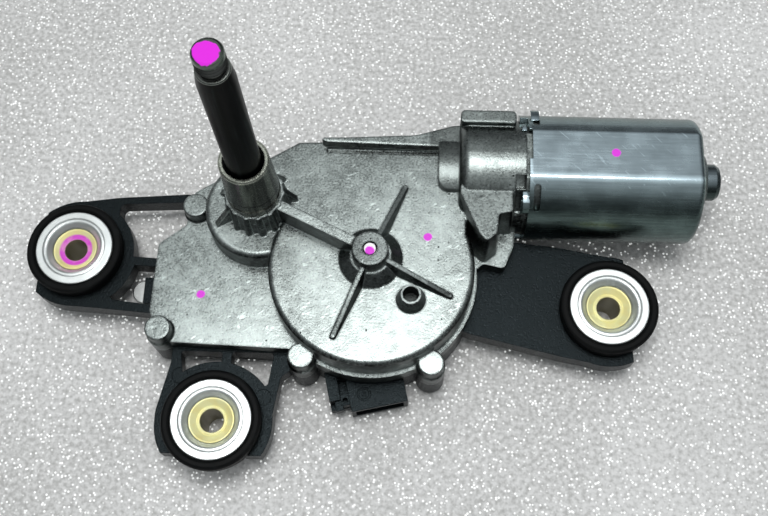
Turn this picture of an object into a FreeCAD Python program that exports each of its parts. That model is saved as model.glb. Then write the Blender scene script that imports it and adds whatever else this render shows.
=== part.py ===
import FreeCAD, Part
import math
import os

# Rear wiper motor: die-cast gear housing with a worm drive, a swinging sector
# mechanism, a steel motor can and a plastic bracket on three rubber mounts.
# Millimetres, +Z up. The origin is the centre of the front mounting bush at
# the mounting plane, and X runs along the motor shaft.

# Plan positions
FRONT_MOUNT = (0.0, 0.0)
LEFT_MOUNT = (-48.1, 52.6)
RIGHT_MOUNT = (118.2, 38.4)
SPINDLE_XY = (10.4, 64.2)
WHEEL_XY = (45.5, 47.7)
CASE_XY = (45.7, 45.9)
POST_XY = (57.8, 35.1)
MOTOR_Y = 79.1
PLATE_SCREWS = [(-10.1, 65.9), (-17.6, 25.9)]
CASE_SCREW_ANGLES = (233.7, 303.4)
CASE_SCREW_REACH = 2.7

# Levels
SKIRT_BOTTOM = 1.5
ARM_BOTTOM = 6.0
JOINT_LEVEL = 12.0
PLATE_TOP = 17.0
BOSS_TOP = 22.0
CASE_TOP = 27.0
HUB_TOP = 36.0
COLLAR_BOTTOM = 36.5
COLLAR_TOP = 58.0
SHOULDER_LEVEL = 100.5
SPINDLE_TIP = 113.5
MOTOR_Z = 19.5

# Housing
CASE_RADIUS = 31.0
FLANGE_LIP = 1.2
PAD_RADIUS = 16.6
CASE_WALL = 2.3
ROOF = 2.3
EDGE_ROUND = 1.6
BOSS_RADIUS = 3.9
LUG_RADIUS = 4.4
HUB_RADIUS = 5.45
HUB_CONE_RADIUS = 9.7
HUB_CONE_RISE = 3.6
POST_RADIUS = 3.0
POST_FOOT = 4.4
POST_HEIGHT = 5.5
POST_HOLE = 2.4
WALL_RIB_WIDTH = 3.0
RIB_FOOT = 3.9
RIB_CREST = 1.3
RIB_POINT = 1.2
RIB_POINT_RISE = 1.1
RIB_LENGTHS = {67.4: 26.3, 247.7: 27.7, -25.2: 27.5}
RIB_DROP = 3.0
BLOCK_START = 71.5
BLOCK_END = 91.4
BLOCK_RADIUS = 17.7
BLOCK_ROUND = 3.2
DUCT_RISE = 13.8
DUCT_LEAN = 0.9
BULGE_START = 65.2
BULGE_HALF_WIDTH = 9.0
BULGE_RISE = 4.4
BULGE_CROWN = 20.0
TOWER_CORE = 8.6
TOWER_FOOT = 10.4
FLUTES = 14
FLUTE_RADIUS = 1.15
RIDGE_RISE = 3.2
GROOVE_WIDTH = 1.9
GROOVE_DEPTH = 1.4
FINS = [(208.0, 14.0, 6.5), (160.0, 12.6, 4.0), (12.0, 12.4, 8.0), (52.0, 12.2, 8.0)]
FIN_WIDTH = 1.8

# Spindle and its bearings
SPINDLE_RADIUS = 5.0
THREAD_RADIUS = 4.0
RUNNING_GAP = 0.05
PINION_SEAT = 4.6
COLLAR_FOOT_RADIUS = 8.1
COLLAR_TOP_RADIUS = 7.25
COLLAR_BORE = 5.95
SPIGOT_RADIUS = 7.0
BUSH_LENGTH = 9.0
SEAL_HEIGHT = 2.4

# Worm drive
MODULE = 1.0
WHEEL_TEETH = 54
WHEEL_BOTTOM = 16.0
WHEEL_WIDTH = 7.0
WHEEL_SPACE = 1.6
SPOKES = 6
WORM_LENGTH = 23.0
TOOTH_RISE = 0.8
TOOTH_DROP = 1.15
BACKLASH = 0.32
AXLE_RADIUS = 3.0
AXLE_TIP_RADIUS = 1.8
AXLE_TIP_LENGTH = 7.0
HUB_HOLE = 2.15

# Swing mechanism
PINION_TEETH = 16
SECTOR_TEETH = 5
CRANK_RADIUS = 8.0
LINK_LENGTH = 35.0
LINK_BOTTOM = 10.0
LINK_THICK = 3.5
SWING_PLATE_THICK = 2.0
SWING_PIN_RADIUS = 2.5
CRANK_PIN_RADIUS = 3.0
JOURNAL_RADIUS = 4.0
LAYER_GAP = 0.3
EYE_WALL = 2.9

# Motor
CAN_START = 92.2
CAN_LENGTH = 52.3
CAN_RADIUS = 19.5
CAN_HALF_HEIGHT = 17.95
CAN_WALL = 1.6
CAN_EDGE = 2.2
CAN_SEAT_LENGTH = 5.2
CAN_SEAT_BORE = 15.2
NOSE_RADIUS = 9.8
NOSE_LENGTH = 3.0
CAP_RADIUS = 5.7
CAP_LENGTH = 8.6
CAP_BORE = 4.4
TAB_ANGLE = 52.0
TAB_LENGTH = 2.4
TAB_WIDTH = 4.4
SLOT_LENGTH = 8.6
SLOT_HALF_WIDTH = 1.0
SHAFT_RADIUS = 3.0
SHAFT_START = 29.0
END_BUSH_RADIUS = 5.0
END_BUSH_LENGTH = 3.2
INNER_SEAT_RADIUS = 6.5
CORE_RADIUS = 14.0
CORE_LENGTH = 33.0
CORE_SLOTS = 10
MAGNET_THICK = 3.2
MAGNET_LENGTH = 38.0
MAGNET_HALF_ANGLE = 55.0
COMMUTATOR_RADIUS = 6.6
COMMUTATOR_LENGTH = 10.0
COMMUTATOR_BARS = 10
BRUSH_WIDTH = 4.0
BRUSH_LENGTH = 6.5
BRUSH_HEIGHT = 5.0
BRUSH_TUBE_WALL = 0.5
HEAD_LENGTH = 4.6

# Bracket, cover and mounts
SKIRT_WALL = 2.0
COVER_FLOOR = 2.0
FORK_RADIUS = 10.6
FORK_MOUTH = 9.8
FORK_OUTER = 17.7
LEFT_REACH = 11.6
FRONT_REACH = 9.6
RIGHT_REACH = 6.6
ARM_SKIN = 2.5
RUBBER_RADIUS = 14.9
RUBBER_FOOT = 12.5
RUBBER_TOP = 16.9
RUBBER_BOTTOM = 1.0
BUSH_BORE = 3.5
BUSH_RADIUS = 4.9
BUSH_FLANGE = 6.8
BUSH_FOOT = 8.0
BUSH_FLARE = 6.4
BUSH_LIP = 0.35
BUSH_TOP = 15.2
FLARE_DEPTH = 1.2
WASHER_RADIUS = 12.0
WASHER_DISH = 8.3
WASHER_TOP = 17.0
WASHER_THICK = 1.0
BEAD_RADIUS = 9.8
BEAD_RISE = 0.35
PILLAR_RADIUS = 4.2
SCREW_RADIUS = 1.9
SCREW_HEAD_RADIUS = 3.3
SCREW_HEAD_HEIGHT = 2.4
SCREW_LENGTH = 14.0
BOARD_BOTTOM = 4.0
BOARD_THICK = 1.6
BOARD_RADIUS = 22.0

# Connector socket
SOCKET_CORNER = (41.0, 4.9)
SOCKET_TURN = 13.5
SOCKET_WIDTH = 17.3
SOCKET_REACH = 15.0
SOCKET_BOTTOM = 1.7
SOCKET_TOP = 9.4
SOCKET_WALL = 1.3
SOCKET_DEPTH = 10.5
PIN_RECESS = 5.6
LATCH_WIDTH = 3.4
LATCH_GAP = 2.6
LATCH_START = 4.4
LATCH_LEVEL = 3.0
LATCH_ROOT = 2.4
PIN_COUNT = 4
PIN_SIZE = 0.8

# Round breather cap on the ledge beside the left arm
CAP_XY = (-27.4, 42.6)
BREATHER_RADIUS = 3.9
BREATHER_BOTTOM = 2.4
BREATHER_TOP = 4.6
LEDGE_X = -27.3

# Sizes that follow from the ones above
WHEEL_PITCH = MODULE * WHEEL_TEETH / 2.0
WORM_PITCH = MOTOR_Y - WHEEL_XY[1] - WHEEL_PITCH
LEAD = math.pi * MODULE
PINION_PITCH = MODULE * PINION_TEETH / 2.0
SWING_RADIUS = 2.0 * PINION_PITCH
ROOF_LEVEL = CASE_TOP - ROOF
WHEEL_TOP = WHEEL_BOTTOM + WHEEL_WIDTH
WHEEL_ROOM = WHEEL_PITCH + WHEEL_SPACE
CAN_END = CAN_START + CAN_LENGTH
NOSE_END = CAN_END + NOSE_LENGTH
CAP_END = CAN_END + CAP_LENGTH
LINK_TOP = LINK_BOTTOM + LINK_THICK
PLATE_HIGH = LINK_BOTTOM - LAYER_GAP
PLATE_LOW = PLATE_HIGH - SWING_PLATE_THICK
FLOOR_LEVEL = SKIRT_BOTTOM + COVER_FLOOR
CORE_START = CAN_START + (CAN_LENGTH - CORE_LENGTH) / 2.0 + 0.6
SHAFT_END = CAP_END - 1.4
BRUSH_PLANE = BLOCK_END - BRUSH_TUBE_WALL - BRUSH_WIDTH / 2.0
COMMUTATOR_START = BRUSH_PLANE - BRUSH_WIDTH / 2.0 - 0.05
COMMUTATOR_END = COMMUTATOR_START + COMMUTATOR_LENGTH
HEAD_SEAT = SKIRT_BOTTOM + 3.4
TUBE_FOOT = PLATE_TOP - CASE_WALL + 2.0
PINION_LOW = LINK_BOTTOM - 0.2
PINION_HIGH = LINK_TOP + 0.5
CLIP_THICK = 0.7
CLIP_LOW = PLATE_LOW - LAYER_GAP * 0.5 - CLIP_THICK
SPINDLE_LOW = CLIP_LOW - 0.9
AXLE_LOW = LINK_TOP + 0.9
FULL_TURN = 360.0

# The four-bar linkage in its parked position, crank and link in one line
GROUND = math.hypot(SPINDLE_XY[0] - WHEEL_XY[0], SPINDLE_XY[1] - WHEEL_XY[1])
GROUND_ANGLE = math.degrees(math.atan2(WHEEL_XY[1] - SPINDLE_XY[1], WHEEL_XY[0] - SPINDLE_XY[0]))


def swing_angle(reach):
    """The swing plate's angle from the line between the two fixed axes."""
    cosine = (GROUND ** 2 + SWING_RADIUS ** 2 - reach ** 2) / (2.0 * GROUND * SWING_RADIUS)
    return math.degrees(math.acos(cosine))


SWING_START = GROUND_ANGLE - swing_angle(LINK_LENGTH + CRANK_RADIUS)

V = FreeCAD.Vector
UP = V(0, 0, 1)
parts = {}


def polar(angle, radius, centre=(0.0, 0.0)):
    turn = math.radians(angle)
    return (centre[0] + radius * math.cos(turn), centre[1] + radius * math.sin(turn))


CASE_SCREWS = [polar(angle, CASE_RADIUS + CASE_SCREW_REACH, CASE_XY) for angle in CASE_SCREW_ANGLES]
SCREW_XY = PLATE_SCREWS + CASE_SCREWS
SWING_XY = polar(SWING_START, SWING_RADIUS, SPINDLE_XY)
LINK_ANGLE = math.degrees(math.atan2(SWING_XY[1] - WHEEL_XY[1], SWING_XY[0] - WHEEL_XY[0]))
CRANK_XY = polar(LINK_ANGLE, CRANK_RADIUS, WHEEL_XY)


def disc(centre, radius, low, high):
    return Part.makeCylinder(radius, high - low, V(centre[0], centre[1], low))


def ring(centre, outer, inner, low, high):
    return disc(centre, outer, low, high).cut(disc(centre, inner, low - 1.0, high + 1.0))


def frustum(centre, low_radius, high_radius, low, high):
    return Part.makeCone(low_radius, high_radius, high - low, V(centre[0], centre[1], low))


def turned(centre, profile):
    """A solid of revolution about a vertical axis, from (radius, height) points."""
    points = [V(centre[0] + r, centre[1], z) for r, z in profile]
    face = Part.Face(Part.makePolygon(points + [points[0]]))
    return face.revolve(V(centre[0], centre[1], 0), UP, FULL_TURN)


def lathe(profile):
    """A solid of revolution about the motor axis, from (x, radius) points."""
    points = [V(x, MOTOR_Y, MOTOR_Z + r) for x, r in profile]
    face = Part.Face(Part.makePolygon(points + [points[0]]))
    return face.revolve(V(0, MOTOR_Y, MOTOR_Z), V(1, 0, 0), FULL_TURN)


def barrel(radius, start, end):
    return Part.makeCylinder(radius, end - start, V(start, MOTOR_Y, MOTOR_Z), V(1, 0, 0))


def rounded_wire(corners, level):
    """A closed wire through (x, y, radius) corners, each rounded by an arc."""
    edges = []
    ends = []
    count = len(corners)
    for i in range(count):
        before = V(corners[i - 1][0], corners[i - 1][1], level)
        here = V(corners[i][0], corners[i][1], level)
        after = V(corners[(i + 1) % count][0], corners[(i + 1) % count][1], level)
        radius = corners[i][2]
        back = (before - here).normalize()
        on = (after - here).normalize()
        half = back.getAngle(on) / 2.0
        if radius == 0:
            ends.append((here, None, here))
            continue
        reach = radius / math.tan(half)
        middle = (back + on).normalize()
        centre = here + middle * (radius / math.sin(half))
        ends.append((here + back * reach, centre - middle * radius, here + on * reach))
    for i in range(count):
        start, peak, end = ends[i]
        if peak is not None:
            edges.append(Part.Arc(start, peak, end).toShape())
        nearby = ends[(i + 1) % count][0]
        if end.distanceToPoint(nearby) > 1e-6:
            edges.append(Part.LineSegment(end, nearby).toShape())
    return Part.Wire(edges)


def prism(corners, low, high):
    return Part.Face(rounded_wire(corners, low)).extrude(V(0, 0, high - low))


def inset_prism(corners, margin, low, high):
    face = Part.Face(rounded_wire(corners, low))
    if margin:
        face = Part.Face(face.makeOffset2D(-margin).Wires[0])
    return face.extrude(V(0, 0, high - low))


def soft_top(solid, radius):
    """Round the edges of the highest flat face."""
    top = solid.BoundBox.ZMax
    edges = [e for e in solid.Edges if e.BoundBox.ZMin > top - 1e-6]
    return solid.makeFillet(radius, edges)


def soft_bottom(solid, radius):
    """Round the edges of the lowest flat face."""
    low = solid.BoundBox.ZMin
    edges = [e for e in solid.Edges if e.BoundBox.ZMax < low + 1e-6]
    return solid.makeFillet(radius, edges)


def fuse(pieces):
    whole = pieces[0]
    if len(pieces) > 1:
        whole = whole.multiFuse(pieces[1:])
    return whole.removeSplitter()


def placed(shape, centre, angle):
    """A shape drawn about the origin, turned and moved to its place in plan."""
    shape.rotate(V(0, 0, 0), UP, angle)
    shape.translate(V(centre[0], centre[1], 0))
    return shape


def side_slab(outline, centre, angle, width):
    """A vertical slab whose side view is a list of (reach, height) points."""
    points = [V(r, -width / 2.0, z) for r, z in outline]
    slab = Part.Face(Part.makePolygon(points + [points[0]])).extrude(V(0, width, 0))
    return placed(slab, centre, angle)


def save(name, shape):
    parts[name] = shape


# Outlines in plan

def low_plate_corners():
    """The flat left half of the housing, from the pad down to the front edge."""
    return [
        (-5.5, 76.2, 3.0),
        (-12.2, 72.0, 3.0),
        (-13.4, 60.9, 2.0),
        (-21.4, 54.6, 2.5),
        (-21.8, 32.0, 3.0),
        (-15.9, 22.9, 2.0),
        (24.0, 21.8, 1.0),
        (42.0, 21.8, 1.0),
        (42.0, 76.2, 1.0),
    ]


def back_corners():
    """The straight back of the housing, along the worm."""
    return [
        (10.6, 79.6, 2.0),
        (21.5, 86.5, 3.0),
        (36.5, 87.1, 8.0),
        (58.0, 88.4, 14.0),
        (70.0, 92.0, 2.0),
        (74.5, 92.0, 1.0),
        (74.5, 46.0, 1.0),
        (10.6, 60.0, 1.0),
    ]


def ear_corners():
    """The small ear between the round case and the motor block."""
    return [
        (70.0, 47.0, 1.0),
        (76.4, 47.8, 1.0),
        (79.8, 50.8, 2.0),
        (86.2, 49.4, 1.6),
        (89.2, 57.0, 3.0),
        (90.0, 66.0, 1.0),
        (70.0, 66.0, 1.0),
    ]


def duct_corners(margin):
    """The flat-topped duct that slopes from the motor block to the round case."""
    return [
        (BLOCK_START + 0.4 + margin, 70.0, 0.6),
        (BLOCK_START + 0.4 + margin, 67.4, 0.8),
        (BLOCK_START + 6.0 + margin, 54.6 + margin, 1.2),
        (BLOCK_START + 8.2, 51.8 + margin, 1.4),
        (BLOCK_START + 11.2 - margin, 54.8 + margin, 1.2),
        (BLOCK_START + 11.8 - margin, 60.8, 1.2),
        (BLOCK_START + 15.9 - margin, 61.7 + margin, 1.0),
        (BLOCK_START + 15.9 - margin, 70.0, 0.6),
    ]


def footprint(margin, low, high):
    """The joint outline of housing and cover, drawn in by a margin."""
    pieces = [
        inset_prism(low_plate_corners(), margin, low, high),
        inset_prism(back_corners(), margin, low, high),
        disc(CASE_XY, CASE_RADIUS + FLANGE_LIP - margin, low, high),
        disc(SPINDLE_XY, PAD_RADIUS - margin, low, high),
        disc(WHEEL_XY, WHEEL_ROOM + WHEEL_SPACE - margin, low, high),
    ]
    return fuse(pieces)


# Gear teeth

def spur_wire(teeth, pitch, phase, level, rise, drop):
    """Involute tooth outline with a little backlash, turned so that a tooth is at phase."""
    base = pitch * math.cos(math.radians(20.0))
    half_at_pitch = (math.pi * MODULE - BACKLASH) / 4.0 / pitch
    spread = math.tan(math.radians(20.0)) - math.radians(20.0)
    points = []
    for i in range(teeth):
        middle = math.radians(phase) + 2.0 * math.pi * i / teeth
        flank = []
        for step in range(4):
            radius = base + (pitch + rise - base) * step / 3.0
            roll = math.acos(base / radius)
            half = half_at_pitch + spread - (math.tan(roll) - roll)
            flank.append((radius, half))
        flank.insert(0, (pitch - drop, flank[0][1]))
        points += [polar(math.degrees(middle - half), radius) for radius, half in flank]
        points += [polar(math.degrees(middle + half), radius) for radius, half in reversed(flank)]
    vectors = [V(x, y, level) for x, y in points]
    return Part.makePolygon(vectors + [vectors[0]])


def spur_gear(teeth, pitch, phase, centre, low, high):
    wire = spur_wire(teeth, pitch, phase, low, TOOTH_RISE, TOOTH_DROP)
    gear = Part.Face(wire).extrude(V(0, 0, high - low))
    gear.translate(V(centre[0], centre[1], 0))
    return gear


def wheel_wire(level, twist):
    """Straight-flanked worm wheel teeth at one height."""
    points = []
    step = FULL_TURN / WHEEL_TEETH
    slope = math.tan(math.radians(20.0))
    half_mid = (math.pi * MODULE - BACKLASH) / 4.0
    tip = WHEEL_PITCH + TOOTH_RISE
    root = WHEEL_PITCH - TOOTH_DROP
    half_tip = math.degrees((half_mid - slope * TOOTH_RISE) / tip)
    half_root = math.degrees((half_mid + slope * TOOTH_DROP) / root)
    for i in range(WHEEL_TEETH):
        middle = 90.0 + twist + i * step
        points.append(polar(middle - half_root, root))
        points.append(polar(middle - half_tip, tip))
        points.append(polar(middle + half_tip, tip))
        points.append(polar(middle + half_root, root))
    vectors = [V(WHEEL_XY[0] + x, WHEEL_XY[1] + y, level) for x, y in points]
    return Part.makePolygon(vectors + [vectors[0]])


# Housing

def rib(angle, length):
    """One of the hub's ribs: sloping sides, lower and narrower towards its rounded point."""
    foot = CASE_TOP - 0.5
    low_crest = CASE_TOP + RIB_POINT_RISE
    point = length - RIB_POINT
    slope = (HUB_TOP - RIB_DROP - low_crest) / (point - HUB_RADIUS)
    sections = []
    ends = ((0, RIB_FOOT / 2.0, RIB_CREST / 2.0), (point, RIB_POINT, RIB_POINT / 2.0))
    for reach, half_foot, half_crest in ends:
        crest = low_crest + slope * (point - reach)
        corners = [V(reach, -half_foot, foot), V(reach, half_foot, foot),
                   V(reach, half_crest, crest), V(reach, -half_crest, crest)]
        sections.append(Part.makePolygon(corners + [corners[0]]))
    bar = Part.makeLoft(sections, True, True)
    nose = frustum((point, 0), RIB_POINT, RIB_POINT / 2.0, foot, low_crest)
    return placed(bar.fuse(nose), WHEEL_XY, angle)


def tower():
    """The spindle boss: a core with flutes round it, fins and the tall rib to the hub."""
    pieces = [frustum(SPINDLE_XY, TOWER_CORE + 0.5, TOWER_CORE, CASE_TOP - 2.0, COLLAR_BOTTOM)]
    for i in range(FLUTES):
        angle = FULL_TURN * i / FLUTES
        foot = polar(angle, TOWER_FOOT - FLUTE_RADIUS, SPINDLE_XY)
        lean = TOWER_FOOT - TOWER_CORE - 0.6
        flute = Part.makeCylinder(FLUTE_RADIUS, COLLAR_BOTTOM - CASE_TOP + 4.0, V(0, 0, 0))
        flute.rotate(V(0, 0, 0), V(0, 1, 0), -math.degrees(math.atan2(lean, COLLAR_BOTTOM - CASE_TOP)))
        flute.rotate(V(0, 0, 0), UP, angle)
        flute.translate(V(foot[0], foot[1], CASE_TOP - 1.5))
        pieces.append(flute)
    for angle, reach, height in FINS:
        profile = [(0, CASE_TOP - 2), (reach, CASE_TOP - 2), (reach, CASE_TOP - 0.4),
                   (TOWER_CORE, CASE_TOP + height), (0, CASE_TOP + height)]
        pieces.append(side_slab(profile, SPINDLE_XY, angle, FIN_WIDTH))
    dx = WHEEL_XY[0] - SPINDLE_XY[0]
    dy = WHEEL_XY[1] - SPINDLE_XY[1]
    span = math.hypot(dx, dy)
    low = CASE_TOP - 2
    profile = [(0, low), (span, low), (span, HUB_TOP - 0.6), (0, COLLAR_BOTTOM - 0.3)]
    pieces.append(side_slab(profile, SPINDLE_XY, math.degrees(math.atan2(dy, dx)), WALL_RIB_WIDTH))
    body = fuse(pieces)
    lid = disc(SPINDLE_XY, 3 * TOWER_FOOT, COLLAR_BOTTOM, COLLAR_BOTTOM + 10)
    return body.cut(lid)


def motor_block():
    """The casting's round seat for the motor, its pad at the back and the wiring duct."""
    seat = barrel(BLOCK_RADIUS, BLOCK_START, BLOCK_END)
    rim = [e for e in seat.Edges if e.BoundBox.XMax < BLOCK_START + 1e-6]
    seat = seat.makeFillet(BLOCK_ROUND, rim)
    pad = soft_top(prism([
        (BLOCK_START, MOTOR_Y + 10.6, 1.0),
        (88.6, MOTOR_Y + 10.6, 1.0),
        (88.6, MOTOR_Y + 14.9, 1.4),
        (BLOCK_START + 0.2, MOTOR_Y + 14.9, 1.4),
    ], JOINT_LEVEL, MOTOR_Z + 16.4), 0.5)
    web = Part.makeBox(17.0, 11.0, 16.0, V(BLOCK_START + 1.0, MOTOR_Y + 1.0, JOINT_LEVEL + 2.0))
    low_face = rounded_wire(duct_corners(-DUCT_LEAN), PLATE_TOP)
    top_face = rounded_wire(duct_corners(0.0), MOTOR_Z + DUCT_RISE)
    duct = Part.makeLoft([low_face, top_face], True, True)
    duct_foot = Part.Face(low_face).extrude(V(0, 0, JOINT_LEVEL - PLATE_TOP))
    can_seat = d_section(CAN_RADIUS - CAN_WALL - 0.1, CAN_HALF_HEIGHT - CAN_WALL - 0.1,
                         BLOCK_END, BLOCK_END + CAN_SEAT_LENGTH)
    can_seat = can_seat.cut(barrel(CAN_SEAT_BORE, BLOCK_END - 1, BLOCK_END + CAN_SEAT_LENGTH + 1))
    return fuse([seat, pad, web, duct, duct_foot, can_seat])


def rim_notches():
    """The deep notch and the shallow band in the block's open edge, over the can's front tab."""
    start = BLOCK_END - 3.1
    notches = []
    for angle, wide, floor in ((29.0, 4.3, BLOCK_RADIUS - 3.0), (49.0, 7.8, BLOCK_RADIUS - 1.0)):
        corner = V(start, MOTOR_Y - wide / 2.0, MOTOR_Z + floor)
        notch = Part.makeBox(BLOCK_END - start + 0.1, wide, BLOCK_RADIUS, corner)
        notch.rotate(V(0, MOTOR_Y, MOTOR_Z), V(1, 0, 0), angle)
        notches.append(notch.common(barrel(BLOCK_RADIUS + 2.0, start, BLOCK_END)))
    return notches


def bulge():
    """The swelling over the shaft's inner bearing, left of the motor block."""
    block = prism([
        (BULGE_START, MOTOR_Y - BULGE_HALF_WIDTH, 3.4),
        (BLOCK_START + 4.0, MOTOR_Y - BULGE_HALF_WIDTH, 0.5),
        (BLOCK_START + 4.0, MOTOR_Y + BULGE_HALF_WIDTH, 0.5),
        (BULGE_START, MOTOR_Y + BULGE_HALF_WIDTH, 3.4),
    ], JOINT_LEVEL, CASE_TOP + 2 * BULGE_RISE)
    axis_level = CASE_TOP + BULGE_RISE - BULGE_CROWN
    crown = Part.makeCylinder(BULGE_CROWN, 14.0, V(BULGE_START - 1.0, MOTOR_Y, axis_level), V(1, 0, 0))
    return block.common(crown)


def gear_housing():
    flange = footprint(0.0, JOINT_LEVEL, PLATE_TOP)
    flange = flange.fuse(prism(ear_corners(), JOINT_LEVEL, PLATE_TOP))
    lugs = [disc(xy, LUG_RADIUS, JOINT_LEVEL, PLATE_TOP) for xy in SCREW_XY]
    bosses = [soft_top(disc(xy, BOSS_RADIUS, PLATE_TOP - 1, BOSS_TOP), 0.5) for xy in SCREW_XY]
    feet = [frustum(xy, LUG_RADIUS, BOSS_RADIUS, PLATE_TOP, PLATE_TOP + 0.9) for xy in SCREW_XY]
    case = soft_top(disc(CASE_XY, CASE_RADIUS, JOINT_LEVEL, CASE_TOP), EDGE_ROUND)
    pad = soft_top(disc(SPINDLE_XY, PAD_RADIUS, JOINT_LEVEL, CASE_TOP - 0.8), EDGE_ROUND)
    back = soft_top(inset_prism(back_corners(), 0.4, JOINT_LEVEL, CASE_TOP), EDGE_ROUND * 0.5)
    ridge = soft_top(prism([
        (28.6, 85.4, 0.5),
        (30.4, 84.7, 0.5),
        (BULGE_START + 0.4, 84.0, 0.5),
        (BLOCK_START + 2, 84.0, 0.5),
        (BLOCK_START + 2, 91.8, 0.5),
        (69.4, 91.4, 1.0),
        (58.0, 87.9, 10.0),
        (36.5, 86.6, 6.0),
        (29.5, 86.4, 1.0),
    ], CASE_TOP - 4, CASE_TOP + RIDGE_RISE), 0.5)
    hub = disc(WHEEL_XY, HUB_RADIUS, CASE_TOP - 1, HUB_TOP)
    hub = soft_top(hub, 0.5)
    cone = frustum(WHEEL_XY, HUB_CONE_RADIUS, HUB_RADIUS + 0.6, CASE_TOP - 0.01, CASE_TOP + HUB_CONE_RISE)
    post = frustum(POST_XY, POST_FOOT, POST_RADIUS, CASE_TOP - 0.01, CASE_TOP + POST_HEIGHT)
    ribs = [rib(angle, length) for angle, length in RIB_LENGTHS.items()]
    wheel_wall = disc(WHEEL_XY, WHEEL_ROOM + 0.5, JOINT_LEVEL, CASE_TOP - EDGE_ROUND)
    solid = fuse([flange, case, wheel_wall, pad, back, ridge] + lugs + bosses + feet)
    solid = fuse([solid, hub, cone, post] + ribs)
    solid = fuse([solid, tower(), motor_block(), bulge()])

    groove_start = 30.4
    groove = Part.makeBox(BULGE_START - groove_start + 0.4, GROOVE_WIDTH, GROOVE_DEPTH,
                          V(groove_start, 84.6 - GROOVE_WIDTH, CASE_TOP - GROOVE_DEPTH))
    plate_roof = PLATE_TOP - CASE_WALL
    wheel_room = disc(WHEEL_XY, WHEEL_ROOM, 0, ROOF_LEVEL)
    link_room = fuse([
        inset_prism(low_plate_corners(), CASE_WALL, 0, plate_roof),
        disc(SPINDLE_XY, PAD_RADIUS - CASE_WALL, 0, plate_roof + 2.0),
        disc(CASE_XY, CASE_RADIUS - CASE_WALL, 0, plate_roof),
    ])
    worm_room = WORM_PITCH + TOOTH_RISE + 0.5
    room_start = SHAFT_START + 0.6 + END_BUSH_LENGTH
    room_end = BULGE_START + 1.0
    corner = V(room_start, MOTOR_Y - worm_room, 0)
    channel = Part.makeBox(room_end - room_start, 2 * worm_room, MOTOR_Z, corner)
    channel = channel.fuse(barrel(worm_room, room_start, room_end))
    keep = [disc(xy, LUG_RADIUS, 0, BOSS_TOP) for xy in SCREW_XY]
    room = fuse([wheel_room, link_room, channel]).cut(fuse(keep))
    shaft_way = barrel(SHAFT_RADIUS + 0.8, SHAFT_START, BLOCK_END + 1)
    pad_seat = barrel(SHAFT_RADIUS, SHAFT_START - 1.1, SHAFT_START + 1)
    end_seat = barrel(END_BUSH_RADIUS, SHAFT_START + 0.6, SHAFT_START + 0.6 + END_BUSH_LENGTH)
    inner_seat = barrel(INNER_SEAT_RADIUS, BULGE_START + 1.0, BLOCK_START + 1.0)
    brush_room = barrel(BLOCK_RADIUS - 3.2, BLOCK_START + 6.0, BLOCK_END + 1.0)
    spigot_hole = disc(SPINDLE_XY, SPIGOT_RADIUS, 0, COLLAR_BOTTOM + 1)
    axle_hole = disc(WHEEL_XY, AXLE_RADIUS, 0, HUB_TOP - AXLE_TIP_LENGTH)
    tip_hole = disc(WHEEL_XY, HUB_HOLE, 0, HUB_TOP + 1)
    post_hole = disc(POST_XY, POST_HOLE, CASE_TOP - 0.6, CASE_TOP + POST_HEIGHT + 1)
    pilots = [disc(xy, SCREW_RADIUS, 0, BOSS_TOP - 2.0) for xy in SCREW_XY]
    duct_way = prism([
        (BLOCK_START + 4.5, 63.0, 0.5),
        (BLOCK_START + 8.1, 55.4, 0.5),
        (BLOCK_START + 9.3, 55.4, 0.5),
        (BLOCK_START + 10.1, 63.0, 0.5),
    ], JOINT_LEVEL - 1, MOTOR_Z + 8.0)
    cuts = [groove, room, shaft_way, pad_seat, end_seat, inner_seat, brush_room, spigot_hole, axle_hole,
            tip_hole, post_hole, duct_way]
    save("gear_housing", solid.cut(cuts + pilots + rim_notches()).removeSplitter())


# Plastic bracket with the mechanism's cover

def arm_plate(corners):
    return prism(corners, ARM_BOTTOM, JOINT_LEVEL)


def fork_cut(centre, mouth, reach, tip_round):
    """What a fork leaves free: the grommet's seat, its mouth and what lies beyond the rounded arm ends."""
    low = ARM_BOTTOM - 1.0
    high = JOINT_LEVEL + 1.0
    far = 3 * FORK_OUTER
    side = math.sqrt(FORK_OUTER ** 2 - reach ** 2) + 0.1 * tip_round
    arm = prism([
        (-far, -far, 0),
        (reach - 4.0, -far, 0),
        (reach, -side, tip_round),
        (reach, side, tip_round),
        (reach - 4.0, far, 0),
        (-far, far, 0),
    ], low, high)
    beyond = disc((0, 0), 0.8 * far, low, high).cut(arm)
    seat = disc(centre, FORK_RADIUS, low, high)
    mouth_side = [(0, low), (0.8 * far, low), (0.8 * far, high), (0, high)]
    way = side_slab(mouth_side, centre, mouth, 2 * FORK_MOUTH)
    return fuse([seat, way, placed(beyond, centre, mouth)])


def moulding_mark(centre):
    """The round print that an ejector pin leaves in the plastic."""
    return disc(centre, 2.4, JOINT_LEVEL - 0.2, JOINT_LEVEL + 1.0)


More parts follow.
